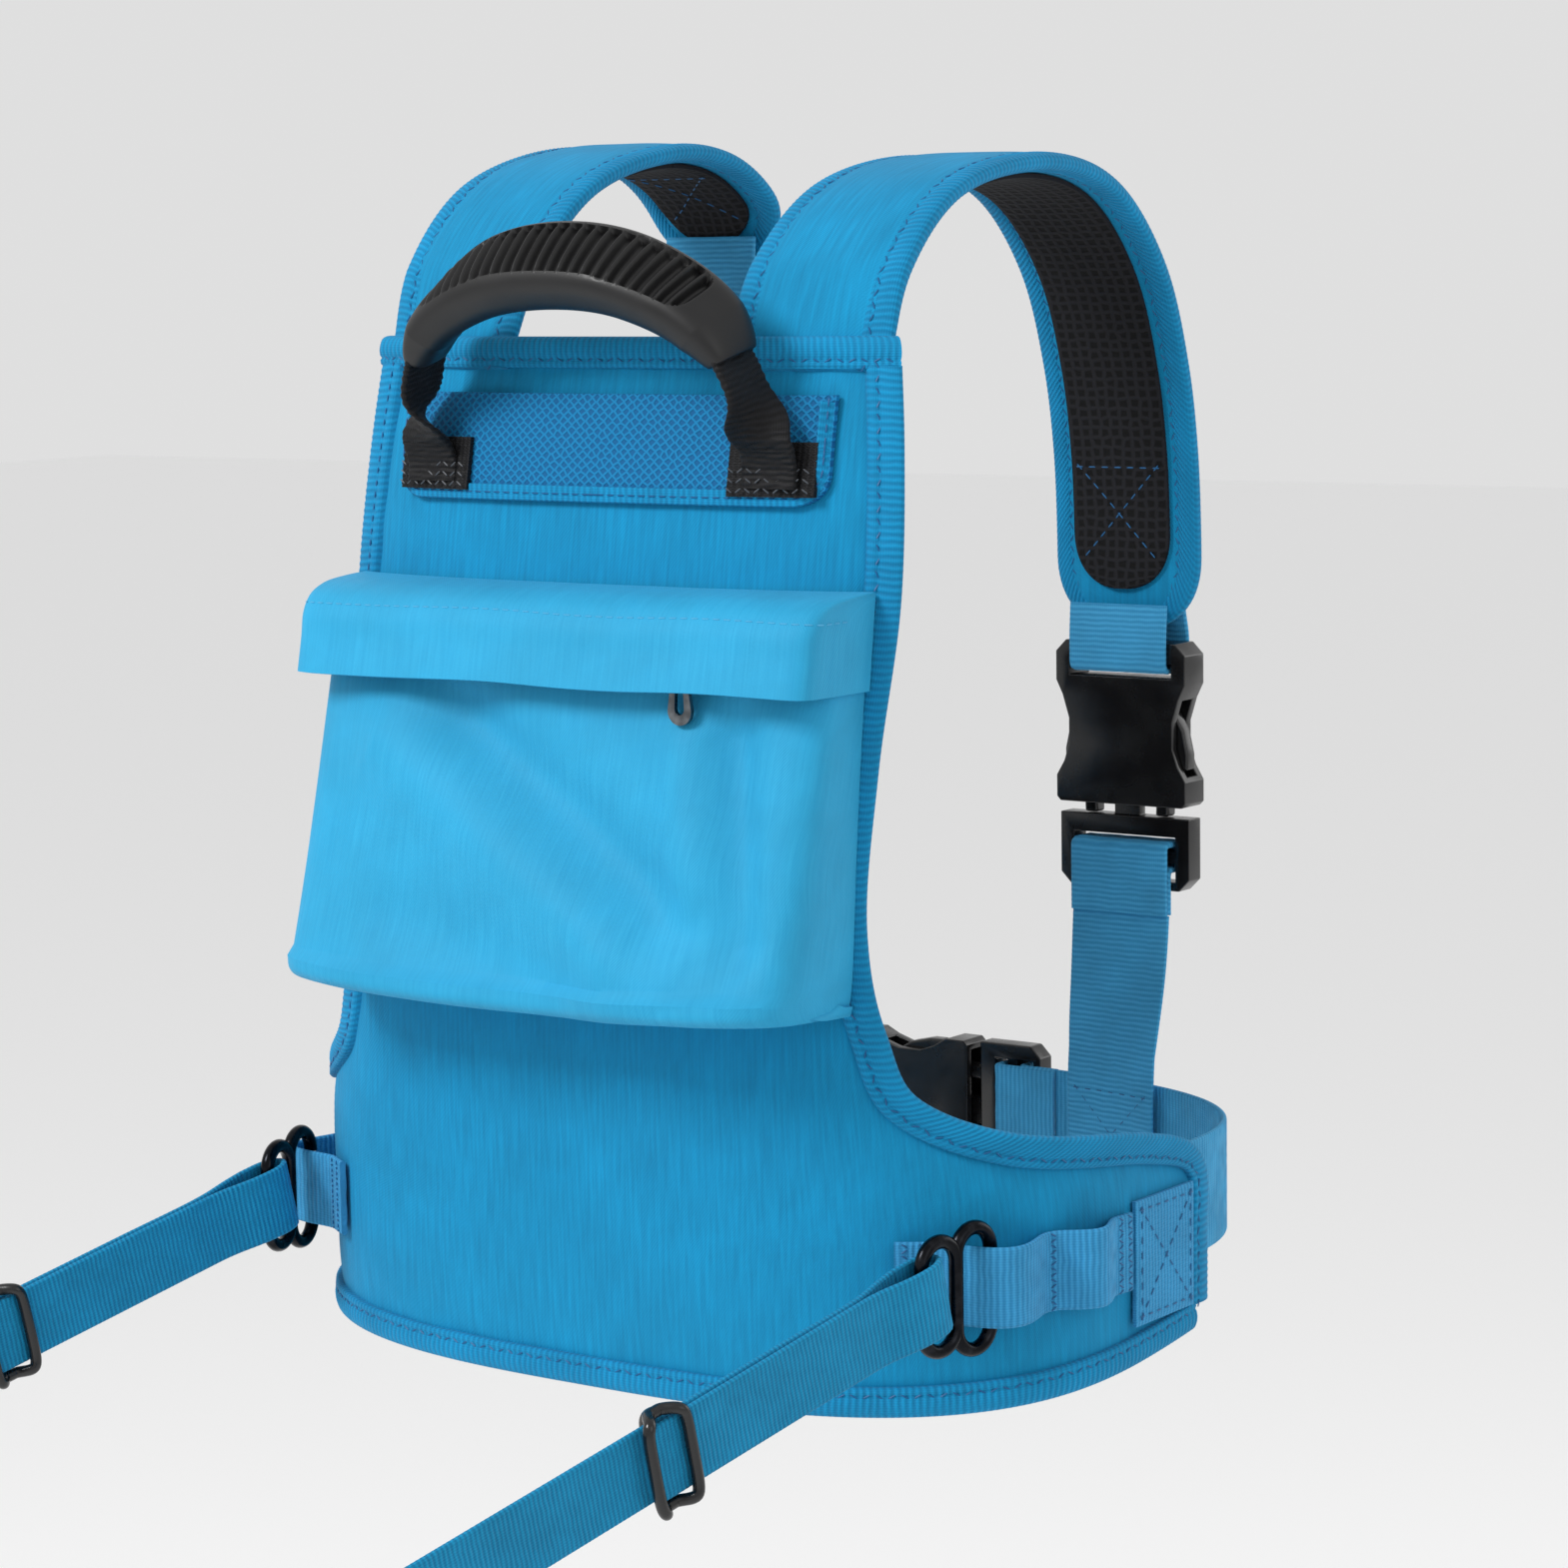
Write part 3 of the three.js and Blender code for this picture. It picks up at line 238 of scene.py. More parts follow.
def closed_rings(name, middle, offsets, s, material, sharp=60):
    """A tube of given rings, closed at both ends on the rings' middle points."""
    rows, columns = offsets.shape[:2]
    rings = middle[:, None] + offsets
    points = np.vstack([rings.reshape(-1, 3), rings[0].mean(0), rings[-1].mean(0)])
    j, k = np.arange(columns), (np.arange(columns) + 1) % columns
    last = (rows - 1) * columns
    ends = ([[rows * columns, int(b), int(a)] for a, b in zip(j, k)]
            + [[rows * columns + 1, int(a) + last, int(b) + last] for a, b in zip(j, k)])
    sides = grid_faces(rows, columns, wrap_columns=True)
    round_it = np.r_[0, np.cumsum(np.linalg.norm(np.diff(offsets[0], axis=0), axis=1))]
    uv = np.vstack([np.stack(np.broadcast_arrays(s, round_it[None]), -1).reshape(-1, 2),
                    [0, 0], [s[-1, 0], 0]])
    return mixed(name, points, sides.tolist() + ends, sides, material, uv, sharp)


def ribbed_tape(name, line, across, width, thick, material, rib=RIB, depth=0.09, bend=None):
    """Woven tape along a line. Its thickness swells by depth x cos(2 pi s / rib) at distance s, so
    each weft thread stands up as a rib, and the ribs wander a little across the width. `across` is
    one direction or one for each point, and bend(share, x) moves the point at x across, if given."""
    count = int(length_of(line) / rib * 6) + 2
    along_it = np.linspace(0, 1, len(line))
    across = np.broadcast_to(across, line.shape)
    share = np.linspace(0, 1, count)
    across = unit(np.stack([np.interp(share, along_it, across[:, k]) for k in range(3)], 1))
    line = spaced(line, count)
    tangent = unit(np.gradient(line, axis=0))
    face = unit(np.cross(tangent, across))
    s = share[:, None] * length_of(line)
    flat = tape_section(width, thick)
    wander = rib * (0.3 * np.sin(flat[:, 0] * 2 * pi / 0.011 + 4 * np.sin(s * 90))
                    + 0.22 * np.sin(flat[:, 0] * 2 * pi / 0.0047 - 3 * np.sin(s * 231)))
    swell = 1 + depth * np.cos(2 * pi * (s + wander) / rib)
    x = np.broadcast_to(flat[:, 0], swell.shape)[..., None]
    offsets = x * across[:, None] + (flat[:, 1] * swell)[..., None] * face[:, None]
    if bend:
        offsets = offsets + bend(share[:, None], x[..., 0])
    return closed_rings(name, line, offsets, s, material)


def woven_tape(name, light, dark, rib, roughness=0.78):
    """Polyester webbing, woven flat and dyed in the piece: matt, with a trace of sheen. Each rib is painted
    light on its crown and painted dark in its groove, as shade; the length along the tape is U, so ribs run
    across it."""
    material = bpy.data.materials.new(name)
    material.use_nodes = True
    tree = material.node_tree
    shader = tree.nodes["Principled BSDF"]
    where = add(tree, "TexCoord").outputs["UV"]
    axes = add(tree, "SeparateXYZ", {0: where})
    wobble = add(tree, "TexNoise", {"Vector": where, "Scale": 160.0, "Detail": 3.0})
    shifted = add(tree, "Math", {0: wobble.outputs["Fac"], 1: 0.6 * rib, 2: axes.outputs["X"]},
                  operation="MULTIPLY_ADD")
    turns = add(tree, "Math", {0: shifted.outputs[0], 1: 2 * pi / rib}, operation="MULTIPLY")
    wave = add(tree, "Math", {0: turns.outputs[0]}, operation="COSINE")
    warp_turns = add(tree, "Math", {0: axes.outputs["Y"], 1: 2 * pi / (0.8 * MM)},
                     operation="MULTIPLY")
    warp = add(tree, "Math", {0: warp_turns.outputs[0]}, operation="COSINE")
    height = add(tree, "Math", {0: warp.outputs[0], 1: 0.35, 2: wave.outputs[0]},
                 operation="MULTIPLY_ADD")
    share = add(tree, "MapRange", {0: height.outputs[0], 1: -1.35, 2: 1.35, 3: 0.0, 4: 1.0})
    # Painted light and shade: the colour goes from `dark` in each rib's groove to `light` on its crown.
    tone = add(tree, "Mix", {0: share.outputs[0], 6: linear(dark), 7: linear(light)},
               data_type="RGBA")
    patch = add(tree, "TexNoise", {"Vector": where, "Scale": 45.0, "Detail": 4.0})
    patches = add(tree, "MapRange", {0: patch.outputs["Fac"], 1: 0.3, 2: 0.7, 3: 0.88, 4: 1.1})
    shade = add(tree, "Mix", {0: 1.0, 6: tone.outputs[2], 7: patches.outputs[0]},
                data_type="RGBA", blend_type="MULTIPLY")
    bump = add(tree, "Bump", {"Height": height.outputs[0], "Strength": 0.5, "Distance": 0.2 * MM})
    tree.links.new(shade.outputs[2], shader.inputs["Base Color"])
    tree.links.new(bump.outputs[0], shader.inputs["Normal"])
    shader.inputs["Roughness"].default_value = roughness
    shader.inputs["Specular IOR Level"].default_value = 0.2
    shader.inputs["Sheen Weight"].default_value = 0.04
    return material


# The second colour is painted shade in the rib grooves, the first painted light on the crowns.
leash_tape = woven_tape("dark_blue_polyester_leash_tape", "#148fbd", "#0a6c97", RIB)

# The hook hangs in the first side loop; these repeat the trunk's outline and the loop's bulge.
HALF_WIDTH, BACK_DEPTH, TOP_DEPTH, FRONT_DEPTH = 149 * MM, 111 * MM, 84 * MM, 107 * MM
LEAN_START, PANEL_TOP, ROUNDNESS = 60 * MM, 270 * MM, 3
LOOP_Z, LOOP_SEAT, HOOK_ANGLE, HOOK_BULGE = -6 * MM, 0.9 * MM, 57, 11 * MM
LOOP_APEX, LOOP_SPREAD, SECOND_ANGLE, SECOND_SPREAD, SECOND_BULGE = 60, 7.5, 73, 5, 6 * MM


def back_depth(z):
    """The panel's distance behind the trunk's middle: full up to 60 mm, then leaning in by lean ^ 1.6."""
    lean = np.clip((z - LEAN_START) / (PANEL_TOP - LEAN_START), 0, 1.2)
    return BACK_DEPTH - (BACK_DEPTH - TOP_DEPTH) * lean ** 1.6


def around(angle, z, out):
    """A point on the trunk at an angle in degrees from the middle of the back: its radius r solves
    |r sin a / width| ^ 3 + |r cos a / depth| ^ 3 = 1, both grown by `out`."""
    angle, z, out = np.broadcast_arrays(np.radians(angle), z, out)
    depth = np.where(np.cos(angle) > 0, back_depth(z), FRONT_DEPTH)
    s = np.abs(np.sin(angle)) / (HALF_WIDTH + out)
    c = np.abs(np.cos(angle)) / (depth + out)
    r = (s ** ROUNDNESS + c ** ROUNDNESS) ** (-1 / ROUNDNESS)
    return np.stack([r * np.sin(angle), -r * np.cos(angle), z], -1)


def loop_out(angle):
    """The loop strip's height off the panel: seat + two humps, each (1 - (a / spread) ^ 2) ^ 2."""
    hump = lambda middle, spread: np.maximum(0, 1 - ((angle - middle) / spread) ** 2) ** 2
    return (LOOP_SEAT + HOOK_BULGE * hump(LOOP_APEX, LOOP_SPREAD)
            + SECOND_BULGE * hump(SECOND_ANGLE, SECOND_SPREAD))


HOOK_TURN = radians(78)
leash_way = unit(np.array([-0.14, -0.965, -0.215]))
leash_across = unit(np.array([0, 0, 1]) - leash_way[2] * leash_way)
leash_face = unit(np.cross(leash_way, leash_across))
WRAP = HOOK_BAR - 0.765 * MM + TAPE_THICK / 2 + GAP
WRAP_REACH = HOOK_BAR + 6.7 * MM
LEAF = TAPE_THICK / 2 + 1.5 * GAP


def bezier(a, b, c, d, count=24):
    """The cubic with control points a, b, c, d: (1-t)^3 a + 3(1-t)^2 t b + 3(1-t) t^2 c + t^3 d."""
    t = np.linspace(0, 1, count)[:, None]
    return a * (1 - t) ** 3 + b * 3 * (1 - t) ** 2 * t + c * 3 * (1 - t) * t ** 2 + d * t ** 3


hook_place, hook_flat, bar_place, leash_pieces = {}, {}, {}, {}
for side, sign in (("right", 1), ("left", -1)):
    flat_way = np.array([sign * cos(HOOK_TURN), sin(HOOK_TURN), 0])
    eye_at = around(sign * HOOK_ANGLE, LOOP_Z, loop_out(HOOK_ANGLE) + TAPE_THICK / 2)
    eye_at = eye_at - flat_way * HOOK_PULL
    bar = eye_at - flat_way * (HOOK_EYE * 1.5 + HOOK_BAR * 1.5)
    hook_place[side], hook_flat[side], bar_place[side] = eye_at, flat_way, bar
    point = lambda far, off, bar=bar: bar + leash_way * far + leash_face * off

    route = smooth_line([point(WRAP_START + GAP, WRAP), point(12 * MM, WRAP * 0.8),
                         point(JOIN_AT, LEAF), point(60 * MM, LEAF), point(120 * MM, LEAF),
                         point(200 * MM, LEAF), point(LEASH_LENGTH, LEAF)], 600)
    leash = ribbed_tape(f"leash_tape_{side}", route, leash_across, LEASH_WIDTH, TAPE_THICK, leash_tape)
    wrap = np.vstack([
        np.linspace(point(SLIDER_AT + 4 * MM, -LEAF), point(JOIN_AT, -LEAF), 40)[:-1],
        bezier(point(JOIN_AT, -LEAF), point(14 * MM, -LEAF), point(12 * MM, -WRAP), point(0, -WRAP))[:-1],
        bezier(point(0, -WRAP), point(-WRAP_REACH, -WRAP), point(-WRAP_REACH, WRAP), point(0, WRAP)),
        [point(WRAP_START, WRAP)]])
    fold = ribbed_tape(f"leash_fold_{side}", wrap, leash_across, LEASH_WIDTH, TAPE_THICK, leash_tape)
    tail = TAPE_THICK + 3 * GAP
    at = lambda far, off: point(LEASH_LENGTH + GAP + far * MM, LEAF + off)
    wide = 17 * MM
    hand = np.vstack([
        np.linspace(at(0, 0), at(12, 0), 6)[:-1],
        bezier(at(12, 0), at(30, 0), at(34, wide), at(52, wide))[:-1],
        bezier(at(52, wide), at(100, wide), at(100, -wide), at(52, -wide), 40)[:-1],
        bezier(at(52, -wide), at(34, -wide), at(30, -tail), at(12, -tail))[:-1],
        np.linspace(at(12, -tail), at(-18, -tail), 10)])
    grip_loop = ribbed_tape(f"hand_loop_tape_{side}", hand, leash_across, LEASH_WIDTH, TAPE_THICK,
                            leash_tape)
    for thing, node in ((leash, "leash"), (fold, "leash_return"), (grip_loop, "hand_loop")):
        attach(thing, "root")
        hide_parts(f"{node}_{side}")
    leash_pieces[side] = (leash, fold, grip_loop, route)

# ---- leash sliders --------------------------------------------------------------------------------
# Tri-glide sliders: moulded black acetal ladder frames. The leash goes up through one slot, over the
# middle bar and down the other, and the bar's grip holds the length that the carer set.


def merged_copy(node):
    """A CAD node's surface as a new mesh, with its loose triangles joined at their corners and flat
    neighbours made one face."""
    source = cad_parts[node]
    body = bmesh.new()
    body.from_mesh(source.data)
    bmesh.ops.remove_doubles(body, verts=body.verts, dist=0.01 * MM)
    bmesh.ops.dissolve_limit(body, angle_limit=radians(1.5), verts=body.verts, edges=body.edges)
    mesh = bpy.data.meshes.new(node + "_moulding")
    body.to_mesh(mesh)
    body.free()
    return mesh


def rounded_copy(name, node, radius, material, segments=3):
    """A moulding from a CAD node: the same faces with every sharp edge rounded to a radius."""
    mesh = merged_copy(node)
    mesh.materials.clear()
    mesh.materials.append(material)
    mesh.polygons.foreach_set("use_smooth", np.ones(len(mesh.polygons), bool))
    thing = bpy.data.objects.new(name, mesh)
    bpy.context.collection.objects.link(thing)
    bevel = thing.modifiers.new("rounded edges", "BEVEL")
    bevel.width = radius
    bevel.segments = segments
    bevel.limit_method = "ANGLE"
    bevel.angle_limit = radians(28)
    bevel.harden_normals = True
    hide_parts(node)
    return thing


def moulded_plastic(name, colour, roughness, grain):
    """Injection-moulded acetal or nylon, dyed through: a fine spark-eroded grain that breaks up its
    gloss, and slightly greyer rubbed places."""
    material = bpy.data.materials.new(name)
    material.use_nodes = True
    tree = material.node_tree
    shader = tree.nodes["Principled BSDF"]
    where = add(tree, "TexCoord").outputs["Object"]
    fine = add(tree, "TexNoise", {"Vector": where, "Scale": 1 / grain, "Detail": 2.0})
    broad = add(tree, "TexNoise", {"Vector": where, "Scale": 60.0, "Detail": 5.0})
    gloss = add(tree, "MapRange", {0: broad.outputs["Fac"], 1: 0.3, 2: 0.7, 3: roughness - 0.06,
                                   4: roughness + 0.1})
    rubbed = linear(colour)[:3]
    tone = add(tree, "Mix", {0: broad.outputs["Fac"], 6: linear(colour),
                             7: [c * 1.7 + 0.002 for c in rubbed] + [1]}, data_type="RGBA")
    bump = add(tree, "Bump", {"Height": fine.outputs["Fac"], "Strength": 0.25, "Distance": 0.06 * MM})
    tree.links.new(tone.outputs[2], shader.inputs["Base Color"])
    tree.links.new(gloss.outputs[0], shader.inputs["Roughness"])
    tree.links.new(bump.outputs[0], shader.inputs["Normal"])
    return material


def rod(name, line, radius, material, closed):
    """A round bar along a line in space: circles square to it, joined end to end if it is closed. Each
    circle's first direction is the line's plane normal, less its part along the bar."""
    if closed:
        line = line[:-1]
        tangent = unit(np.roll(line, -1, axis=0) - np.roll(line, 1, axis=0))
        plane = np.cross(line[len(line) // 3] - line[0], line[2 * len(line) // 3] - line[0])
    else:
        tangent = unit(np.gradient(line, axis=0))
        plane = np.cross(tangent[0], [0.31, 0.62, 0.72])
    plane = unit(plane)
    first = unit(plane - (tangent @ plane)[:, None] * tangent)
    second = np.cross(tangent, first)
    a = np.linspace(0, 2 * pi, 21)[:-1]
    offsets = radius * (np.cos(a)[:, None] * first[:, None] + np.sin(a)[:, None] * second[:, None])
    if not closed:
        return closed_rings(name, line, offsets, np.linspace(0, 1, len(line))[:, None], material)
    points = (line[:, None] + offsets).reshape(-1, 3)
    return make(name, points, grid_faces(len(line), 20, True, True), material)


black_acetal = moulded_plastic("black_moulded_acetal", "#0b0b0c", 0.24, 0.5 * MM)
SLIDER_WIDE, SLIDER_TALL, SLIDER_ROD = 16 * MM, 9.5 * MM, 1.8 * MM
STACK = LEAF + TAPE_THICK / 2 + 2 * GAP
a = np.linspace(0, 2 * pi, 400)
squarish = (np.abs(np.cos(a)) ** 6 + np.abs(np.sin(a)) ** 6) ** (-1 / 6)
frame_line = spaced(np.stack([np.cos(a), np.sin(a)], 1) * squarish[:, None]
                    * [SLIDER_WIDE - SLIDER_ROD, SLIDER_TALL - SLIDER_ROD], 161)
rise = np.clip(np.abs(frame_line[:, 1]) / (SLIDER_TALL - SLIDER_ROD) / 0.7 - 0.3, 0, 1)
rise = rise * rise * (3 - 2 * rise) * (STACK + SLIDER_ROD * 0.9)
bar_across = np.linspace(-1, 1, 60)
bar_sink = (1 - bar_across ** 8) * (STACK + SLIDER_ROD * 0.9)
for side in ("right", "left"):
    middle = bar_place[side] + leash_way * SLIDER_AT
    ladder = rod(f"tri_glide_{side}", middle + frame_line[:, :1] * leash_across
                 + frame_line[:, 1:] * leash_way - rise[:, None] * leash_face, SLIDER_ROD,
                 black_acetal, closed=True)
    cross_bar = rod(f"tri_glide_bar_{side}", middle + bar_across[:, None] * leash_across
                    * (SLIDER_WIDE - SLIDER_ROD) + bar_sink[:, None] * leash_face, SLIDER_ROD,
                    black_acetal, closed=False)
    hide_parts(f"leash_slider_{side}")
    for thing in (ladder, cross_bar):
        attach(thing, f"slider_{side}")
    leash, fold, grip_loop, route = leash_pieces[side]

# ---- back panel -----------------------------------------------------------------------------------
# A polyester knit laminated on 3 mm foam, cut to one piece and lined with black spacer mesh. Folded
# tape binds its armholes, hem and neck, sewn through with zigzag rows, and pulls the edges thinner.
PANEL_THICK = 3 * MM
BINDING_WIDTH, BINDING_THICK, BINDING_PROUD = 8 * MM, 5 * MM, 0.5 * MM
EDGE_RADIUS = 125 * MM
# The edge from hem to neck: degrees round, its height, and where its row crosses the middle.
EDGE = [(97, -32, -42), (97, -10, -26), (96, 12, -14), (86, 20, -6), (63, 29, 6), (50, 43, 22),
        (45, 68, 45), (43, 100, 80), (45, 150, 140), (48.5, 200, 198), (50, 245, 244), (50.5, 270, 270)]
edge_line = smooth_line(EDGE, 420) * [1, MM, MM]


def on_edge(share):
    """The panel's edge at shares of its length: degrees, height at the edge, height in the middle."""
    at = np.linspace(0, 1, len(edge_line))
    return np.stack([np.interp(share, at, edge_line[:, k]) for k in range(3)], -1)


def on_panel(across, up, out, reach=1.0):
    """The panel's point at `across`, from -1 to 1, and `up`, from 0 to 1: the row's height goes from
    middle to edge as |across| ^ 3, and its angle is the edge's times `across`."""
    edge = on_edge(up)
    height = edge[..., 2] + (edge[..., 1] - edge[..., 2]) * np.abs(across) ** 3
    return around(edge[..., 0] * across * reach, height, out)


def ripples(x, y, pitch, count, seed):
    """A soft unevenness from -1 to 1: the mean of `count` sine waves of random direction and phase."""
    rng = np.random.default_rng(seed)
    total = 0
    for _ in range(count):
        way, phase, size = rng.uniform(0, 2 * pi), rng.uniform(0, 2 * pi), rng.uniform(0.6, 1.6)
        total = total + np.sin(2 * pi * (x * np.cos(way) + y * np.sin(way)) / (pitch * size) + phase)
    return total / count


def slab(name, top, bottom, material, sharp=40):
    """A closed sheet between two grids of points: their quads, and a row of quads round the rim. The
    pattern's coordinates are the distances along the top grid's rows and columns, from its middle."""
    rows, columns = top.shape[:2]
    faces = grid_faces(rows, columns)
    under = rows * columns
    index = np.arange(under).reshape(rows, columns)
    rim = np.concatenate([index[0, :-1], index[:-1, -1], index[-1, :0:-1], index[:0:-1, 0]])
    after = np.roll(rim, -1)
    edge = np.stack([rim, rim + under, after + under, after], 1)
    u, v = along(top, 1), along(top, 0)
    uv = np.stack([u - u[:, columns // 2][:, None], v - v[rows // 2][None]], -1).reshape(-1, 2)
    points = np.vstack([top.reshape(-1, 3), bottom.reshape(-1, 3)])
    return make(name, points, np.vstack([faces, faces[:, ::-1] + under, edge]), material,
                np.vstack([uv, uv]), sharp)


def knit_cloth(name, light, dark, streak=(1.1 * MM, 22 * MM), weave=0.9 * MM, roughness=0.82):
    """Dyed polyester cloth with a matt face. Uneven yarn gives fine streaks along the cloth, twill
    lines of the weave catch the light, and a trace of sheen shows where it turns away."""
    material = bpy.data.materials.new(name)
    material.use_nodes = True
    tree = material.node_tree
    shader = tree.nodes["Principled BSDF"]
    where = add(tree, "TexCoord").outputs["UV"]
    drawn = add(tree, "Mapping", {"Vector": where, "Scale": (1 / streak[0], 1 / streak[1], 1.0)})
    yarn = add(tree, "TexNoise", {"Vector": drawn.outputs[0], "Scale": 1.0, "Detail": 3.0})
    broad = add(tree, "TexNoise", {"Vector": where, "Scale": 24.0, "Detail": 4.0, "Roughness": 0.6})
    share = add(tree, "MapRange", {0: yarn.outputs["Fac"], 1: 0.32, 2: 0.68, 3: 0.0, 4: 1.0})
    tone = add(tree, "Mix", {0: share.outputs[0], 6: linear(dark), 7: linear(light)}, data_type="RGBA")
    patches = add(tree, "MapRange", {0: broad.outputs["Fac"], 1: 0.3, 2: 0.7, 3: 0.9, 4: 1.08})
    shade = add(tree, "Mix", {0: 1.0, 6: tone.outputs[2], 7: patches.outputs[0]},
                data_type="RGBA", blend_type="MULTIPLY")
    slanted = add(tree, "Mapping", {"Vector": where, "Rotation": (0.0, 0.0, radians(38))})
    thread = add(tree, "TexWave", {"Vector": slanted.outputs[0], "Scale": 1 / weave / 3.2,
                                   "Distortion": 1.5, "Detail": 1.0})
    relief = add(tree, "Math", {0: yarn.outputs["Fac"], 1: 0.7, 2: thread.outputs["Fac"]},
                 operation="MULTIPLY_ADD")
    bump = add(tree, "Bump", {"Height": relief.outputs[0], "Strength": 0.35, "Distance": 0.15 * MM})
    tree.links.new(shade.outputs[2], shader.inputs["Base Color"])
    tree.links.new(bump.outputs[0], shader.inputs["Normal"])
    shader.inputs["Roughness"].default_value = roughness
    shader.inputs["Specular IOR Level"].default_value = 0.2
    shader.inputs["Sheen Weight"].default_value = 0.04
    return material


def spacer_mesh(name, light, dark, pitch, roughness=0.85, turned=0):
    """Knitted spacer mesh: a honeycomb of holes between soft rounded strands. Distance to the edge of
    Voronoi cells of the mesh's pitch gives the strands, raised and paler, and the holes, deep and painted
    dark as shade."""
    material = bpy.data.materials.new(name)
    material.use_nodes = True
    tree = material.node_tree
    shader = tree.nodes["Principled BSDF"]
    where = add(tree, "TexCoord").outputs["UV"]
    drawn = add(tree, "Mapping", {"Vector": where, "Scale": (1 / pitch, 1.15 / pitch, 1.0),
                                  "Rotation": (0.0, 0.0, radians(turned))})
    cells = add(tree, "TexVoronoi", {"Vector": drawn.outputs[0], "Scale": 1.0, "Randomness": 0.3},
                feature="DISTANCE_TO_EDGE", voronoi_dimensions="2D")
    strand = add(tree, "MapRange", {0: cells.outputs["Distance"], 1: 0.08, 2: 0.3, 3: 1.0, 4: 0.0},
                 interpolation_type="SMOOTHSTEP")
    fibre = add(tree, "TexNoise", {"Vector": where, "Scale": 1500.0, "Detail": 2.0})
    # Painted shade: the holes take the `dark` colour, the shade inside them; the strands take `light`.
    tone = add(tree, "Mix", {0: strand.outputs[0], 6: linear(dark), 7: linear(light)},
               data_type="RGBA")
    relief = add(tree, "Math", {0: fibre.outputs["Fac"], 1: 0.15, 2: strand.outputs[0]},
                 operation="MULTIPLY_ADD")
    bump = add(tree, "Bump", {"Height": relief.outputs[0], "Strength": 0.8, "Distance": 0.5 * MM})
    tree.links.new(tone.outputs[2], shader.inputs["Base Color"])
    tree.links.new(bump.outputs[0], shader.inputs["Normal"])
    shader.inputs["Roughness"].default_value = roughness
    shader.inputs["Specular IOR Level"].default_value = 0.25
    return material


def edge_binding(name, inner, outer, under_inner, under_outer, material, rib=2.2 * MM):
    """Folded tape over a cloth's edge. Its section runs from a lip on the cloth's face over a stitched
    groove to the fold and back beneath, as shares a of its width and b of its thickness; each point is
    the bilinear mix of the four edge lines, and b swells a little with every rib of the tape."""
    fold = np.linspace(-pi / 2, pi / 2, 9)[1:-1]
    top = np.array([(-0.22, 0.1), (-0.16, -0.02), (0, -0.05), (0.1, 0.03), (0.2, -0.06), (0.4, -0.1),
                    (0.6, -0.08), (0.76, -0.02)])
    turn_over = np.stack([0.76 + 0.24 * np.cos(fold), 0.5 + 0.5 * np.sin(fold)], 1)
    section = np.vstack([top, turn_over, (top * [1, -1] + [0, 1])[::-1]])
    count = int(length_of(outer) / rib * 5)
    lines = [spaced(line, count)[:, None] for line in (inner, outer, under_inner, under_outer)]
    s = np.linspace(0, length_of(outer), count)[:, None]
    a = np.broadcast_to(section[:, 0], (count, len(section)))
    thick = 1 + 0.035 * np.cos(2 * pi * (s + a * 1.6 * MM) / rib)
    b = (0.5 + (section[:, 1] - 0.5) * thick)[..., None]
    a = a[..., None]
    rings = ((1 - b) * ((1 - a) * lines[0] + a * lines[1]) + b * ((1 - a) * lines[2] + a * lines[3]))
    middle = lines[0][:, 0]
    offsets = rings - middle[:, None]
    return closed_rings(name, middle, offsets, s, material)


def stitches(name, line, normal, material, stitch=2.6 * MM, gap=1.3 * MM, thread=0.5 * MM, slant=0):
    """A sewn row: at each step one small four-sided bead along the line, thick in its middle and thin
    at its ends; `slant`, in degrees, turns every other bead the other way, as a zigzag does."""
    count = max(2, int(length_of(line) / (stitch + gap)))
    share = np.linspace(0, 1, len(line))
    places = spaced(line, count)
    way = unit(np.gradient(places, axis=0))
    normal = np.broadcast_to(normal, line.shape)
    at = np.linspace(0, 1, count)
    up = unit(np.stack([np.interp(at, share, normal[:, k]) for k in range(3)], 1))
    side = unit(np.cross(up, way))
    turned = radians(slant) * (np.arange(count) % 2 * 2 - 1)[:, None]
    way, side = way * np.cos(turned) + side * np.sin(turned), side * np.cos(turned) - way * np.sin(turned)
    x = np.repeat([-0.5, -0.3, 0.3, 0.5], 4) * stitch
    thick = np.repeat([0.35, 1, 1, 0.35], 4) * thread / 2
    y, z = np.tile([1, 0, -1, 0], 4) * thick, np.tile([0, 1, 0, -1], 4) * thick
    points = (places[:, None] + x[:, None] * way[:, None] + y[:, None] * side[:, None]
              + z[:, None] * up[:, None]).reshape(-1, 3)
    bead = np.vstack([grid_faces(4, 4, wrap_columns=True), [[3, 2, 1, 0], [12, 13, 14, 15]]])
    faces = (np.arange(count)[:, None, None] * 16 + bead[None]).reshape(-1, 4)
    return make(name, points, faces, material, sharp=70)


def sewing_thread(name, colour):
    """Bonded polyester thread: twisted, slightly glossy."""
    material = bpy.data.materials.new(name)
    material.use_nodes = True
    tree = material.node_tree
    shader = tree.nodes["Principled BSDF"]
    where = add(tree, "TexCoord").outputs["Object"]
    ply = add(tree, "TexNoise", {"Vector": where, "Scale": 2500.0})
    tone = add(tree, "Mix", {0: ply.outputs["Fac"], 6: [c * 0.75 for c in linear(colour)[:3]] + [1],
                             7: linear(colour)}, data_type="RGBA")
    tree.links.new(tone.outputs[2], shader.inputs["Base Color"])
    shader.inputs["Roughness"].default_value = 0.55
    return material


vest_knit = knit_cloth("azure_polyester_knit_on_foam", "#0a89b9", "#087ba8")
# The binding's second colour is painted shade in the rib grooves, its first painted light on the crowns.
binding_tape = woven_tape("azure_folded_binding_tape", "#0c8cbf", "#08719f", 2.2 * MM)
# The mesh's second colour is painted shade in its holes.
black_mesh = spacer_mesh("black_spacer_mesh", "#1a1a1e", "#040405", 4 * MM)
deep_thread = sewing_thread("deep_blue_polyester_thread", "#0f5f95")

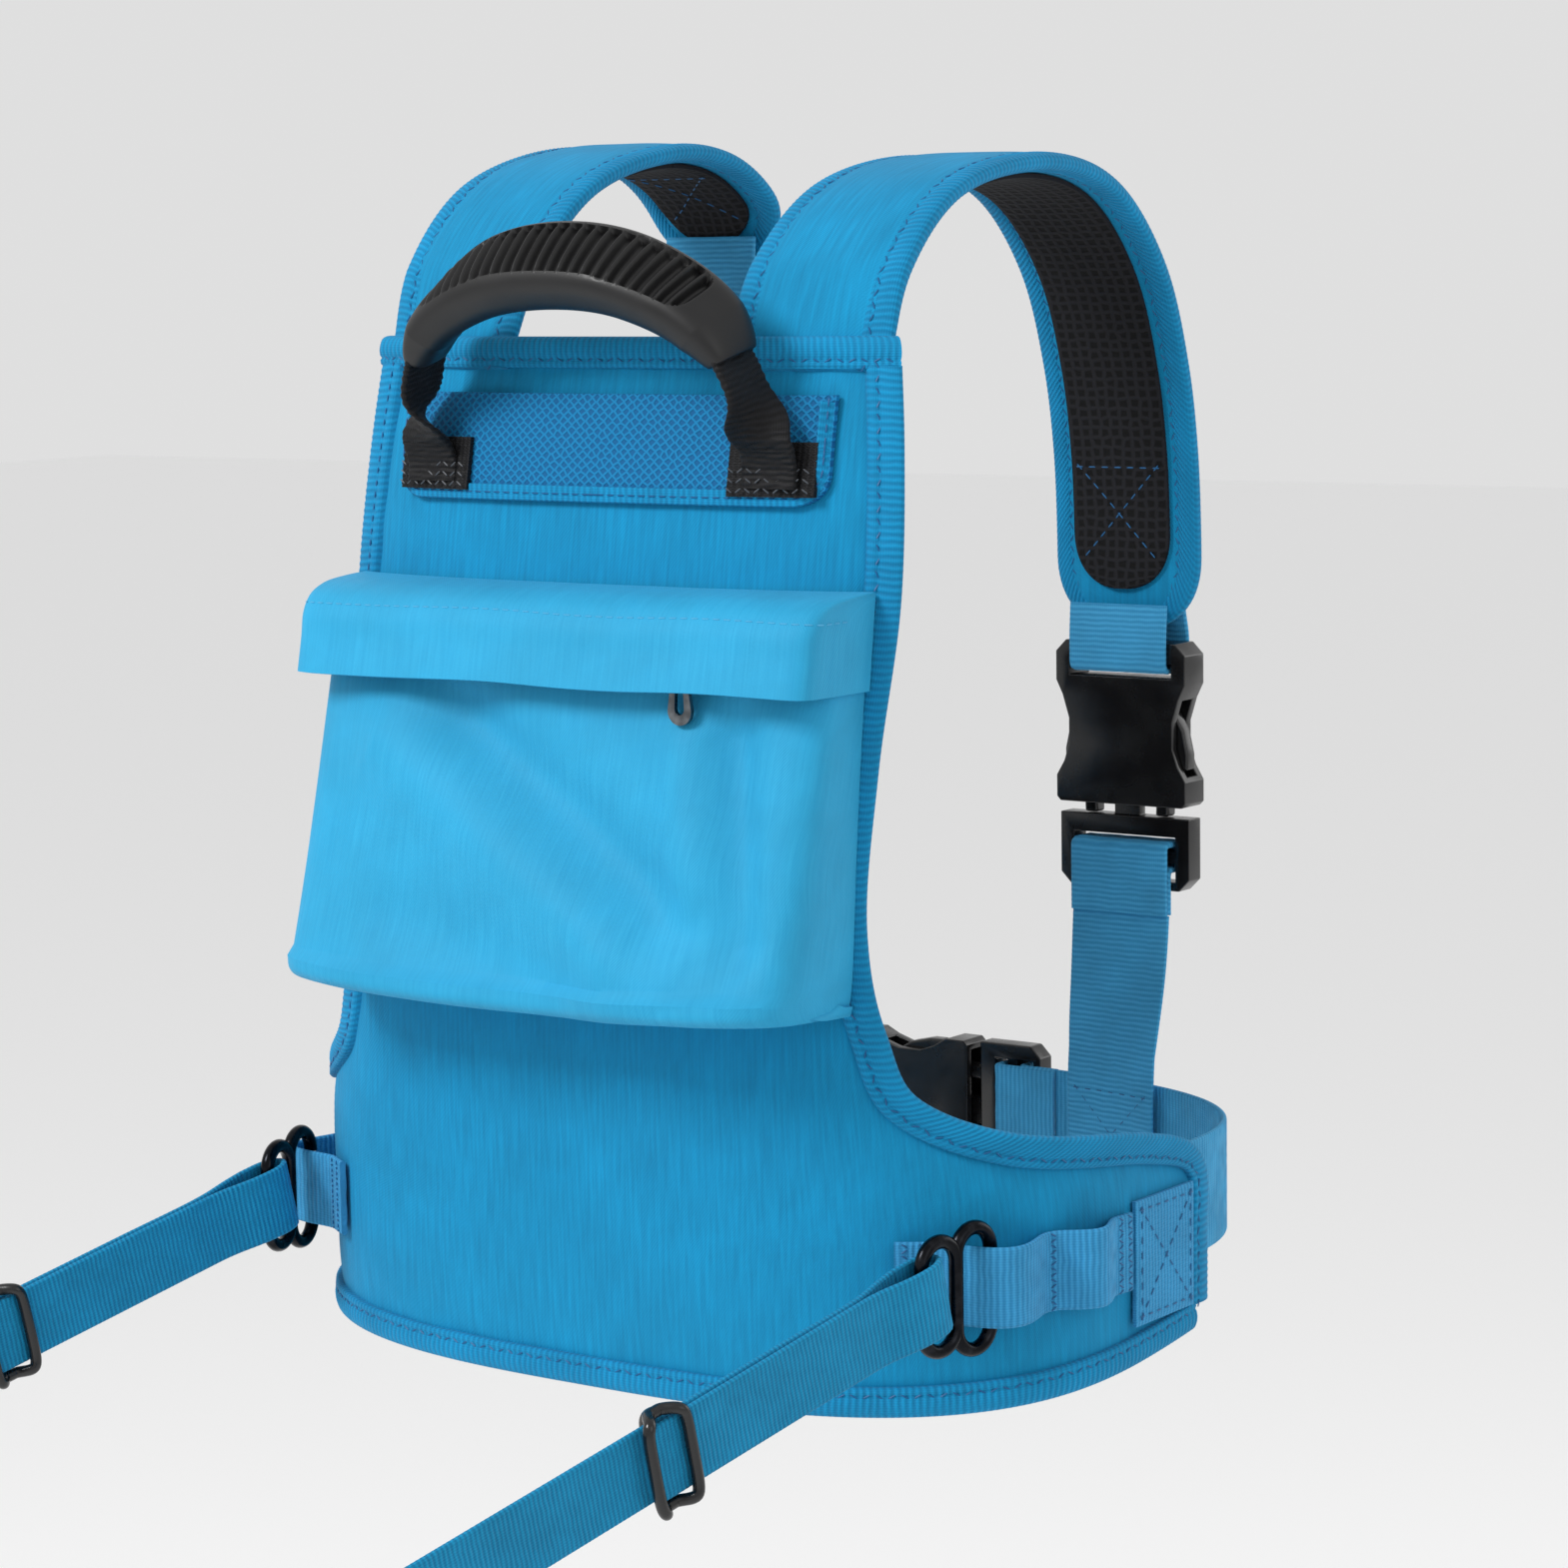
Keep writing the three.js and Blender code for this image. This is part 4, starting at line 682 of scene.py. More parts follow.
across, up = np.meshgrid(np.linspace(-1, 1, 211), np.linspace(0, 1, 170))
near_side = np.exp(-(1 - np.abs(across)) * 26)
near_end = np.exp(-up * 26) + np.exp(-(1 - up) * 30)
pulled = np.clip(near_side + near_end, 0, 1)
face_points = on_panel(across, up, 0.0)
drawn_in = -1.3 * MM * pulled * (1 + 0.35 * ripples(face_points[..., 2], across * 0.2, 14 * MM, 5, 3))
uneven = 0.22 * MM * ripples(across * 0.15, face_points[..., 2], 45 * MM, 6, 4)
outer_face = on_panel(across, up, drawn_in + uneven - 0.2 * MM)
panel = slab("panel_shell", outer_face, on_panel(across, up, -PANEL_THICK - 0.3 * drawn_in), vest_knit)
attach(panel, "root")
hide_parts("back_panel")

# The lining reaches 58 degrees round and is quilted to the shell in upright channels.
LINING_THICK, LINING_CLEAR = 1.6 * MM, 1.6 * MM
across, up = np.meshgrid(np.linspace(-1, 1, 121), np.linspace(0, 1, 110))
edge = on_edge(0.06 + 0.91 * up)
reach = np.minimum(edge[..., 0] - 4, 58)
channel = np.abs(np.sin(across * pi * 3)) ** 0.5
behind = -PANEL_THICK - LINING_CLEAR
lining = slab("spacer_lining", around(reach * across, edge[..., 2], behind),
              around(reach * across, edge[..., 2], behind - LINING_THICK * (0.35 + 0.65 * channel)),
              black_mesh)
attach(lining, "root")
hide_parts("panel_lining")

share = np.linspace(0, 1, 420)
run = np.gradient(edge_line, axis=0)
step = unit(np.stack([run[:, 1], -run[:, 0] * radians(1) * EDGE_RADIUS], 1))
proud, beneath = BINDING_PROUD, BINDING_PROUD - BINDING_THICK


def beyond(side, off, out):
    """The line at a distance off the panel's edge, square to it on the rolled-out trunk."""
    angle = edge_line[:, 0] + np.degrees(step[:, 0] * off / EDGE_RADIUS)
    return around(side * angle, edge_line[:, 1] + step[:, 1] * off, out)


for side, sign in (("right", 1), ("left", -1)):
    tape = edge_binding(f"armhole_tape_{side}", beyond(sign, 2 * GAP, proud),
                        beyond(sign, 2 * GAP + BINDING_WIDTH, proud), beyond(sign, 2 * GAP, beneath),
                        beyond(sign, 2 * GAP + BINDING_WIDTH, beneath), binding_tape)
    seam = beyond(sign, 2 * GAP + 0.1 * BINDING_WIDTH, proud + 0.15 * MM)
    outward = unit(seam * [1, 1, 0])
    row = stitches(f"armhole_stitches_{side}", seam, outward, deep_thread, slant=28)
    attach(tape, "root")
    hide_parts(f"armhole_binding_{side}")
    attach(row, "root")

for name, node, at, lift, reach in (("hem_tape", "hem_binding", 0.0, -1, 1.0),
                                    ("neck_tape", "neck_binding", 1.0, 1, 1.069)):
    a = np.linspace(-1, 1, 320) * reach
    height = np.array([0, 0, lift])
    line = lambda off, out: on_panel(a, np.full_like(a, at), out) + height * off
    tape = edge_binding(name, line(2 * GAP, proud), line(2 * GAP + BINDING_WIDTH, proud),
                        line(2 * GAP, beneath), line(2 * GAP + BINDING_WIDTH, beneath), binding_tape)
    seam = line(2 * GAP + 0.1 * BINDING_WIDTH, proud + 0.15 * MM)
    row = stitches(f"{name}_stitches", seam[4:-4], unit(seam * [1, 1, 0])[4:-4], deep_thread, slant=28)
    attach(tape, "root")
    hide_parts(node)
    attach(row, "root")

# ---- shoulder straps ------------------------------------------------------------------------------
# Foam cushions in the panel's knit, 56 mm wide, bound with folded tape all round their rounded ends.
# Black spacer mesh lines the side that lies on the shoulder, and an X in a box holds the webbing on.
PAD_HALF, PAD_THICK, PAD_X, MESH_HALF = 28 * MM, 7 * MM, 70 * MM, 17 * MM
PAD_TUCK = 3 * MM               # how far each pad runs on behind the panel's neck tape
ROUTES = {
    "right": [(-81.06, 2.1), (-66, 28), (-34, 52), (24, 61), (62, 52), (90, 26), (104, -6), (110, -35),
              (112, -65), (112, -97)],
    "left": [(-81.06, 2.1), (-66, 29), (-36, 55), (14, 67), (46, 63), (66, 50), (71, 38), (72, 29)],
}


class PadRoute:
    """A strap's middle line in the plane X = const: a point `s` along it, `x` across and `off` it is
    line(s) + off x its normal, moved by the back's own curve where the strap starts."""

    def __init__(self, points, x):
        self.line = smooth_line([(y * MM, PANEL_TOP + z * MM) for y, z in points], 500)
        self.long, self.x = length_of(self.line), x
        tangent = unit(np.gradient(self.line, axis=0))
        self.normal = np.stack([-tangent[:, 1], tangent[:, 0]], 1)
        self.tangent = tangent

    def at(self, s, x, off):
        s, x, off = np.broadcast_arrays(s, x, off)
        share = np.linspace(0, self.long, len(self.line))
        pick = lambda table: np.stack([np.interp(s, share, table[:, k]) for k in (0, 1)], -1)
        before = np.minimum(s, 0)[..., None] * self.tangent[0]
        point = pick(self.line) + before + pick(self.normal) * off[..., None]
        fade = np.maximum(0, 1 - np.maximum(s, 0) / self.long / 0.35) ** 2
        flat = lambda across: -TOP_DEPTH * (1 - (np.abs(across) / HALF_WIDTH) ** 3) ** (1 / 3)
        y = point[..., 0] + (flat(self.x + x) - flat(self.x)) * fade
        return np.stack([self.x + x, y, point[..., 1]], -1)


def end_half(s, long, half, round_from):
    """Half the width at s: full, then closing as a superellipse of exponent 2.3 at the round end."""
    share = np.clip((s - round_from) / (long - round_from), 0, 1)
    return half * (1 - share ** 2.3) ** (1 / 2.3)


def outline(long, half, round_long, start, inset=0.0):
    """The outline of a strap with one round end, drawn in: up one edge, round the end, down the other.
    Gives distances along and across; the end is the superellipse that end_half() gives."""
    a = np.linspace(0, pi / 2, 60)
    corner = np.stack([(long - round_long) + (round_long - inset) * np.sin(a) ** (2 / 2.3),
                       (half - inset) * np.cos(a) ** (2 / 2.3)], 1)
    straight = np.stack([np.linspace(start, long - round_long, 120)[:-1], np.full(119, half - inset)], 1)
    one = np.vstack([straight, corner])
    return np.vstack([one, one[-2::-1] * [1, -1]])


for side, sign in (("right", 1), ("left", -1)):
    pad = PadRoute(ROUTES[side], sign * PAD_X)
    round_long = 26 * MM
    s_line = np.r_[np.linspace(-PAD_TUCK, pad.long - round_long, 150)[:-1],
                   pad.long - round_long + (round_long - 1.5 * MM) * np.sin(np.linspace(0, pi / 2, 26))]
    s, a = np.meshgrid(s_line, np.linspace(-1, 1, 61), indexing="ij")
    x = a * end_half(s, pad.long, PAD_HALF - 3 * MM, pad.long - round_long)
    thin = np.interp(s, [-PAD_TUCK, 0.0, 30 * MM], [0.3, 0.35, 1.0])
    sunk = np.interp(s, [-PAD_TUCK, 0.0, 30 * MM], [-2.2 * MM, -1.8 * MM, 0.0])
    crown = 1 - 0.5 * np.abs(a) ** 5 - 0.35 * np.clip((s - pad.long + round_long) / round_long, 0, 1) ** 4
    soft = 0.25 * MM * ripples(s, x, 30 * MM, 6, 11 + sign)
    half_thick = PAD_THICK / 2 * crown * thin
    cushion = slab(f"shoulder_cushion_{side}", pad.at(s, x, sunk + half_thick + soft),
                   pad.at(s, x, sunk - half_thick), vest_knit)
    rim = outline(pad.long, PAD_HALF, round_long, -PAD_TUCK)
    seam = outline(pad.long, PAD_HALF, round_long, -PAD_TUCK, BINDING_WIDTH)
    seam, rim = spaced(seam, 400), spaced(rim, 400)
    thin = np.interp(rim[:, 0], [-PAD_TUCK, 0.0, 30 * MM], [0.4, 0.45, 1.0]) * 2.6 * MM
    low = np.interp(rim[:, 0], [-PAD_TUCK, 0.0, 30 * MM], [-2.2 * MM, -1.8 * MM, 0.0])
    tape = edge_binding(f"shoulder_tape_{side}", pad.at(seam[:, 0], seam[:, 1], low + thin),
                        pad.at(rim[:, 0], rim[:, 1], low + thin),
                        pad.at(seam[:, 0], seam[:, 1], low - thin),
                        pad.at(rim[:, 0], rim[:, 1], low - thin), binding_tape)
    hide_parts(f"shoulder_pad_{side}")
    pieces = [cushion, tape]
    for face, way in (("outer", 1), ("inner", -1)):
        row_at = seam + (rim - seam) * 0.1
        row_line = pad.at(row_at[:, 0], row_at[:, 1], low + way * (thin + 0.25 * MM))
        raised = pad.at(row_at[:, 0], row_at[:, 1], low + way * (thin + 1 * MM)) - row_line
        pieces.append(stitches(f"shoulder_{face}_stitches_{side}", row_line, unit(raised), deep_thread,
                               slant=28))

    below = -(PAD_THICK + LINING_THICK) / 2 - 2 * GAP
    start, stop = 0.06 * pad.long, 0.955 * pad.long
    s, a = np.meshgrid(start + (stop - start) * np.sin(np.linspace(0, pi / 2, 150)),
                       np.linspace(-1, 1, 41), indexing="ij")
    x = a * end_half(s, stop + 0.2 * MM, MESH_HALF + 1.5 * MM, stop - 20 * MM)
    pinch = 0.7 * MM * np.abs(a) ** 6
    mesh_face = slab(f"shoulder_mesh_lining_{side}", pad.at(s, x, below + LINING_THICK / 2 + 0.5 * MM),
                     pad.at(s, x, below - LINING_THICK / 2 + pinch), black_mesh)
    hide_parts(f"shoulder_mesh_{side}")
    pieces.append(mesh_face)
    top_s, low_s, wide = stop - 42 * MM, stop - 12 * MM, 15 * MM
    box_lines = [[(top_s, -wide), (top_s, wide)], [(top_s, -wide), (low_s, wide * 0.85)],
                 [(top_s, wide), (low_s, -wide * 0.85)]]
    for number, ends in enumerate(box_lines):
        flat = spaced(np.array(ends), 40)
        off = below - LINING_THICK / 2 - 0.1 * MM
        row_line = pad.at(flat[:, 0], flat[:, 1], off)
        down = pad.at(flat[:, 0], flat[:, 1], off - 1 * MM) - row_line
        pieces.append(stitches(f"strap_x_stitches_{side}_{number}", row_line, unit(down), deep_thread))
    for thing in pieces:
        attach(thing, "root")

# ---- handle ---------------------------------------------------------------------------------------
# A lifting handle: a moulded rubber grip with a ribbed finger recess, threaded on black webbing whose
# two ends are sewn to a dimpled backing patch below the neck. It folds down on its webbing.
PATCH_HALF, PATCH_HIGH, PATCH_LOW = 84 * MM, 261 * MM, 228 * MM
HANDLE_HALF, HANDLE_RISE, HANDLE_OFF, CREST_OUT = 66 * MM, 63 * MM, 7.6 * MM, 14 * MM
HANDLE_Z = PATCH_LOW + 10 * MM
GRIP_HALF, GRIP_RADIUS, LEG_END, GRIP_LEAN = 14 * MM, 10 * MM, 0.17, 34


def on_back(x, z, out):
    """The panel's surface at a distance x from the middle: y = -(depth) (1 - |x / width| ^ 3) ^ (1/3)."""
    x, z, out = np.broadcast_arrays(x, z, out)
    share = 1 - (np.abs(x) / (HALF_WIDTH + out)) ** ROUNDNESS
    return np.stack([x, -(back_depth(z) + out) * share ** (1 / ROUNDNESS), z], -1)


# The dimpled mesh's second colour is painted shade in its dimples.
dimpled_mesh = spacer_mesh("azure_dimpled_mesh", "#0c78ad", "#06598c", 2.5 * MM, 0.75, 45)
# The black webbing's second colour is painted shade in the rib grooves, its first painted light on the
# crowns.
black_webbing = woven_tape("black_polyamide_webbing", "#17171a", "#050506", 1.9 * MM, 0.6)
grey_thread = sewing_thread("grey_polyester_thread", "#4c4f55")

CORNER = 9 * MM
z_line = PATCH_LOW + (PATCH_HIGH - PATCH_LOW) * (1 - np.cos(np.linspace(0, pi, 60))) / 2
z, a = np.meshgrid(z_line, np.linspace(-1, 1, 180), indexing="ij")
dip = np.clip(1 - (z - PATCH_LOW) / CORNER, 0, 1)
x = a * (PATCH_HALF - CORNER * (1 - np.sqrt(1 - dip ** 2)))
edge_drop = 0.5 * MM * np.clip(1 - (1 - np.abs(a)) / 0.03, 0, 1)
pillow = 0.25 * MM * ripples(x, z, 26 * MM, 5, 21) - edge_drop
patch = slab("handle_patch_cloth", on_back(x, z, GAP + 2 * MM + pillow), on_back(x, z, GAP), dimpled_mesh)
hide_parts("handle_patch")
corner = np.linspace(0, pi / 2, 12)
half_outline = np.vstack([
    [[PATCH_HALF, PATCH_HIGH]],
    np.stack([PATCH_HALF - CORNER + CORNER * np.cos(corner),
              PATCH_LOW + CORNER - CORNER * np.sin(corner)], 1)])
patch_outline = spaced(np.vstack([half_outline * [-1, 1], half_outline[::-1]]), 220)
inward = np.array([0, (PATCH_HIGH + PATCH_LOW) / 2])
tape_at = patch_outline + np.sign(inward - patch_outline) * [2 * MM, 2 * MM]
patch_tape_line = on_back(tape_at[:, 0], tape_at[:, 1], GAP + 2.2 * MM)
patch_normal = unit(patch_tape_line * [1, 1, 0])
patch_way = unit(np.gradient(patch_tape_line, axis=0))
patch_tape = ribbed_tape("handle_patch_edge_tape", patch_tape_line, unit(np.cross(patch_normal, patch_way)),
                         5 * MM, 1.1 * MM, binding_tape)
row = stitches("handle_patch_stitches", patch_tape_line + patch_normal * 0.75 * MM, patch_normal, deep_thread)
for thing in (patch, patch_tape, row):
    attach(thing, "root")

pivot_y = on_back(HANDLE_HALF, HANDLE_Z, 0.0)[1] - HANDLE_OFF
tilt = np.arctan2(CREST_OUT, HANDLE_RISE)
handle_across = np.array([0, -cos(tilt), -sin(tilt)])
half_arch = [(1, 0, 0), (65 / 66, 4, 20), (0.82, 9, 44), (0.45, CREST_OUT / MM * 0.95, 0.93 * 63)]
arch = ([(-share * HANDLE_HALF, pivot_y - out * MM, HANDLE_Z + rise * MM) for share, out, rise in half_arch]
        + [(0, pivot_y - CREST_OUT, HANDLE_Z + HANDLE_RISE)]
        + [(share * HANDLE_HALF, pivot_y - out * MM, HANDLE_Z + rise * MM)
           for share, out, rise in half_arch[::-1]])
handle_line = smooth_line(arch, 600)

# The grip: a rounded-box section whose outer face holds a recess with round ends and raised ribs.
RIBS = 24
s = np.linspace(-1, 1, 470)
turn_by = np.linspace(0, 2 * pi, 73)[:-1]
middle = smooth_line(arch, 601)[int(600 * LEG_END):601 - int(600 * LEG_END)]
middle = spaced(middle, len(s))
tangent = unit(np.gradient(middle, axis=0))
outward = -unit(np.cross(tangent, handle_across))
c, d = np.cos(turn_by)[None], np.sin(turn_by)[None]
end = np.clip((1 - np.abs(s)) / 0.16, 0, 1)[:, None] ** 0.6
width = GRIP_HALF * (0.86 + 0.14 * np.cos(s * pi / 2))[:, None] * (0.76 + 0.24 * end)
depth = GRIP_RADIUS * (0.62 + 0.34 * np.cos(s * pi / 2.2))[:, None] * (0.6 + 0.4 * end)
ride_x = width * np.sign(c) * np.abs(c) ** 0.62
ride_y = depth * np.sign(d) * np.abs(d) ** 0.7
across_share = np.abs(ride_x) / (0.7 * GRIP_HALF)
long_share = np.abs(s)[:, None] / 0.74
inside = 1 - (across_share ** 4 + np.maximum(0, (long_share - 0.86) / 0.14) ** 2)
recess = np.clip(inside * 5, 0, 1) * (d > 0.1)
rib = 0.5 + 0.5 * np.cos(2 * pi * s * RIBS / 1.48)
ride_y = ride_y - recess * (3.2 * MM - 2.8 * MM * rib[:, None] ** 1.4)
lean = radians(GRIP_LEAN) * np.cos(s * pi / 2.3)[:, None]
section_x = handle_across * np.cos(lean) - outward * np.sin(lean)
section_y = outward * np.cos(lean) + handle_across * np.sin(lean)
offsets = ride_x[..., None] * section_x[:, None] + ride_y[..., None] * section_y[:, None]


def moulded_rubber(name, colour):
    """Moulded thermoplastic rubber, black: half matt, with a fine eroded texture and rubbed places."""
    material = moulded_plastic(name, colour, 0.42, 0.35 * MM)
    material.node_tree.nodes["Principled BSDF"].inputs["Specular IOR Level"].default_value = 0.4
    return material


grip_rubber = moulded_rubber("black_moulded_rubber", "#0e0e0f")
grip = closed_rings("rubber_grip", middle, offsets, (s * 0.5)[:, None], grip_rubber, sharp=55)
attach(grip, "handle")
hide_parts("handle_grip", "handle_webbing")

# Each leg of the webbing lies flat where it is sewn down and turns edge-on to go into the grip.
for side, sign in (("right", 1), ("left", -1)):
    low = on_back(sign * 66 * MM, PATCH_LOW + 5 * MM, GAP + 4.2 * MM)
    foot = on_back(sign * 66 * MM, HANDLE_Z, GAP + 4.6 * MM)
    knee = on_back(sign * 66.5 * MM, HANDLE_Z + 7 * MM, GAP + 8 * MM)
    rise = handle_line[[-30, -55, -85, -115]] if sign > 0 else handle_line[[29, 54, 84, 114]]
    leg_line = smooth_line([low, foot, knee, *rise], 160)
    share = np.linspace(0, 1, 160)[:, None]
    ease = np.clip((share - 0.22) / 0.5, 0, 1)
    ease = ease * ease * (3 - 2 * ease)
    leg_across = unit(np.array([1.0, 0, 0]) * (1 - ease) - sign * handle_across * ease)
    leg = ribbed_tape(f"handle_leg_{side}", leg_line, leg_across, 20 * MM, 2.4 * MM, black_webbing,
                      rib=2.4 * MM, depth=0.22)
    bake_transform(leg)
    z, x = np.meshgrid(np.linspace(PATCH_LOW + 2.5 * MM, HANDLE_Z + 9 * MM, 40),
                       np.linspace(-15, 15, 50) * MM + sign * 66 * MM, indexing="ij")
    wale = 0.18 * MM * np.cos(2 * pi * x / (2.1 * MM)) * np.cos(2 * pi * z / (2.1 * MM))
    anchor = slab(f"handle_anchor_webbing_{side}", on_back(x, z, GAP + 3.9 * MM + wale),
                  on_back(x, z, GAP + 2.3 * MM), black_webbing)
    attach(anchor, "root")
    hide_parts(f"handle_anchor_{side}")
    for number, height in enumerate(np.array([4.5, 7.5, 10.5]) * MM + PATCH_LOW):
        x = np.linspace(-13, 13, 40) * MM + sign * 66 * MM
        line = on_back(x, np.full(40, height), GAP + 5.6 * MM)
        tack = stitches(f"handle_bartack_{side}_{number}", line, unit(line * [1, 1, 0]), grey_thread,
                        stitch=2.4 * MM, gap=0.3 * MM, slant=35)
        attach(tack, "root")

# ---- side release buckles -------------------------------------------------------------------------
# Black acetal mouldings: a socket, and a plug frame with a guide tongue and two sprung prongs that
# snap into the socket's waist windows. The webbing is looped round the bar of each half.
FEMALE_LENGTH, FEMALE_THICK, END_BAR, SOCKET_SLOT = 56 * MM, 13 * MM, 7 * MM, 5 * MM
MALE_LENGTH, MALE_THICK, MOUTH_GAP, LADDER_BAR = 25 * MM, 8 * MM, 4 * MM, 4 * MM
LOOP_REACH, PAD_TO_BUCKLE, WAIST_TAB_REACH, WAIST_TAB_STAND = 8 * MM, 3 * MM, 20 * MM, 1.5 * MM
WEB, WEB_RIB = 38 * MM, 1.8 * MM
LOOP_INNER = MALE_THICK / 2 + TAPE_THICK / 2 + GAP
LOOP_OUTER = LOOP_INNER + TAPE_THICK + GAP
PLUG_BAR = -MOUTH_GAP - MALE_LENGTH / 2 - 1 * MM
WAIST_MOUTH_X = 6 * MM
# The webbing's second colour is painted shade in the rib grooves, its first painted light on the crowns.
blue_webbing = woven_tape("blue_polyester_webbing", "#46a2d0", "#2d83b2", WEB_RIB)


def front_depth(x):
    """The belt's distance in front of the middle: depth (1 - |x / width| ^ 3) ^ (1/3)."""
    return FRONT_DEPTH * (1 - (np.abs(x) / HALF_WIDTH) ** ROUNDNESS) ** (1 / ROUNDNESS)


def rounded_line(points, radius, count=160):
    """A line through corners in a plane, each corner cut by a quadratic curve of a radius."""
    points = [np.array(p, float) for p in points]
    line = [points[0]]
    t = np.linspace(0, 1, 9)[:, None]
    for before, here, after in zip(points, points[1:], points[2:]):
        a = here + unit(before - here) * min(radius, np.linalg.norm(before - here) / 2)
        b = here + unit(after - here) * min(radius, np.linalg.norm(after - here) / 2)
        line.extend(a * (1 - t) ** 2 + here * 2 * t * (1 - t) + b * t ** 2)
    return spaced(np.vstack([*line, points[-1]]), count)


def tab_line(reach, inside, outside):
    """The webbing's way round the socket's end bar, as distances along and through the buckle."""
    low, edge = FEMALE_LENGTH - END_BAR - SOCKET_SLOT / 2, FEMALE_THICK / 2 + TAPE_THICK / 2 + GAP
    near, far = FEMALE_LENGTH + 2 * MM, FEMALE_LENGTH + reach
    return rounded_line([(far, -inside), (near, -edge), (low, -edge), (low, edge), (near, edge),
                         (far, outside)], 3 * MM)


def loop_line():
    """The webbing's way up through the plug's far slot, over its middle bar and back."""
    low = -MOUTH_GAP - MALE_LENGTH - LOOP_REACH
    near = PLUG_BAR + (LADDER_BAR + SOCKET_SLOT) / 2
    far = PLUG_BAR - (LADDER_BAR + SOCKET_SLOT) / 2 + 0.2 * MM
    return rounded_line([(low, -LOOP_INNER), (far, -LOOP_INNER), (far, LOOP_INNER), (near, LOOP_INNER),
                         (near, -LOOP_OUTER), (low, -LOOP_OUTER)], 2.2 * MM)


tab_end = FEMALE_LENGTH + WAIST_TAB_REACH - WAIST_MOUTH_X
leaf = FRONT_DEPTH + LOOP_INNER - front_depth(tab_end) - WAIST_TAB_STAND
pad_face = PAD_THICK / 2 + TAPE_THICK / 2 + GAP
pad_tab = tab_line(PAD_TO_BUCKLE + 10 * MM, pad_face + LINING_THICK + 2 * GAP, pad_face)
waist_tab = tab_line(WAIST_TAB_REACH, leaf, TAPE_THICK + GAP - leaf)
right_mouth, left_mouth = 114 * MM, 240 * MM
# name: the CAD nodes' first words, mouth's middle, direction along the buckle, width direction, the tab's
# path
BUCKLES = {
    "right": ("shoulder_buckle_right", (PAD_X, 112 * MM, right_mouth), (0, 0, 1), (1, 0, 0), pad_tab),
    "left": ("shoulder_buckle_left", (-PAD_X, 72 * MM, left_mouth), (0, 0, 1), (1, 0, 0), pad_tab),
    "waist": ("waist_buckle", (WAIST_MOUTH_X, FRONT_DEPTH + LOOP_INNER, 0), (-1, 0, 0), (0, 0, 1),
              waist_tab),
}
for side, (node, mouth, way, wide, tab) in BUCKLES.items():
    for part, body, radius in (("socket", "root", 1.5), ("plug", f"{side}_plug", 1.1),
                               ("prong_a", f"{side}_prong_a", 0.9), ("prong_b", f"{side}_prong_b", 0.9)):
        thing = rounded_copy(f"{part}_moulding_{side}", f"{node}_{part}", radius * MM, black_acetal)
        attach(thing, body)
    place = lambda flat: (np.array(mouth) + flat[:, :1] * np.array(way) + flat[:, 1:] * np.array([0, 1, 0]))
    tab_piece = ribbed_tape(f"socket_tab_{side}", place(tab), wide, WEB, TAPE_THICK, blue_webbing, WEB_RIB)
    loop_piece = ribbed_tape(f"plug_loop_{side}", place(loop_line()), wide, WEB, TAPE_THICK,
                             blue_webbing, WEB_RIB)
    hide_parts(f"{node}_socket_tab")
    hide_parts(f"{node}_plug_loop")
    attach(tab_piece, "root")
    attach(loop_piece, f"{side}_plug")

# ---- drop straps and belt -------------------------------------------------------------------------
# 38 mm polyester webbing. The drop straps hang from the shoulder buckles and are sewn inside the
# belt, which runs from the waist buckle round the body and in behind each wing of the panel.
LOOP_END = MOUTH_GAP + MALE_LENGTH + LOOP_REACH + GAP
BELT_TO_DROP, BELT_SEWN_END, BELT_CLEAR = TAPE_THICK + GAP, 68, HALF_WIDTH * 0.009
RELEASE_TRAVEL = 35 * MM        # how far a plug draws out of its socket, pulling its webbing along
for side, sign, top_y, mouth_z in (("right", 1, 112 * MM, right_mouth), ("left", -1, 72 * MM, left_mouth)):
    first, last = top_y - (LOOP_INNER + LOOP_OUTER) / 2, front_depth(PAD_X) - BELT_TO_DROP - TAPE_THICK
    top_z, half = mouth_z - LOOP_END, WEB / 2
    between = lambda a, b, share: a + (b - a) * share
    line = smooth_line([
        (sign * PAD_X, first, top_z),
        (sign * PAD_X, between(first, last, 0.3), between(top_z, half, 0.35)),
        (sign * PAD_X, between(first, last, 0.8), between(top_z, half, 0.75)),
        (sign * PAD_X, last, half), (sign * PAD_X, last, -half)], 300)
    follow = lambda share, x, sign=sign: np.stack(np.broadcast_arrays(
        0.0, np.minimum(1, 2 * share) ** 2 * (front_depth(sign * PAD_X + x) - front_depth(PAD_X)), 0.0), -1)
    drop = ribbed_tape(f"drop_webbing_{side}", line, (1, 0, 0), WEB, TAPE_THICK, blue_webbing, WEB_RIB,
                       bend=follow)
    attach(drop, "root")
    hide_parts(f"drop_strap_{side}")
    keep = 1 - RELEASE_TRAVEL / (top_z + half)
    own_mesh(drop)
    box_half = half - 4 * MM
    for number, ends in enumerate([[(-1, -1), (1, 1)], [(-1, 1), (1, -1)], [(-1, 1), (1, 1)],
                                   [(-1, -1), (1, -1)]]):
        flat = spaced(np.array(ends, float), 40) * box_half
        x = sign * PAD_X + flat[:, 0]
        row_line = np.stack([x, front_depth(x) - BELT_TO_DROP - TAPE_THICK * 1.55, flat[:, 1]], 1)
        tack = stitches(f"drop_x_stitches_{side}_{number}", row_line, (0, -1, 0), deep_thread)
        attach(tack, "root")

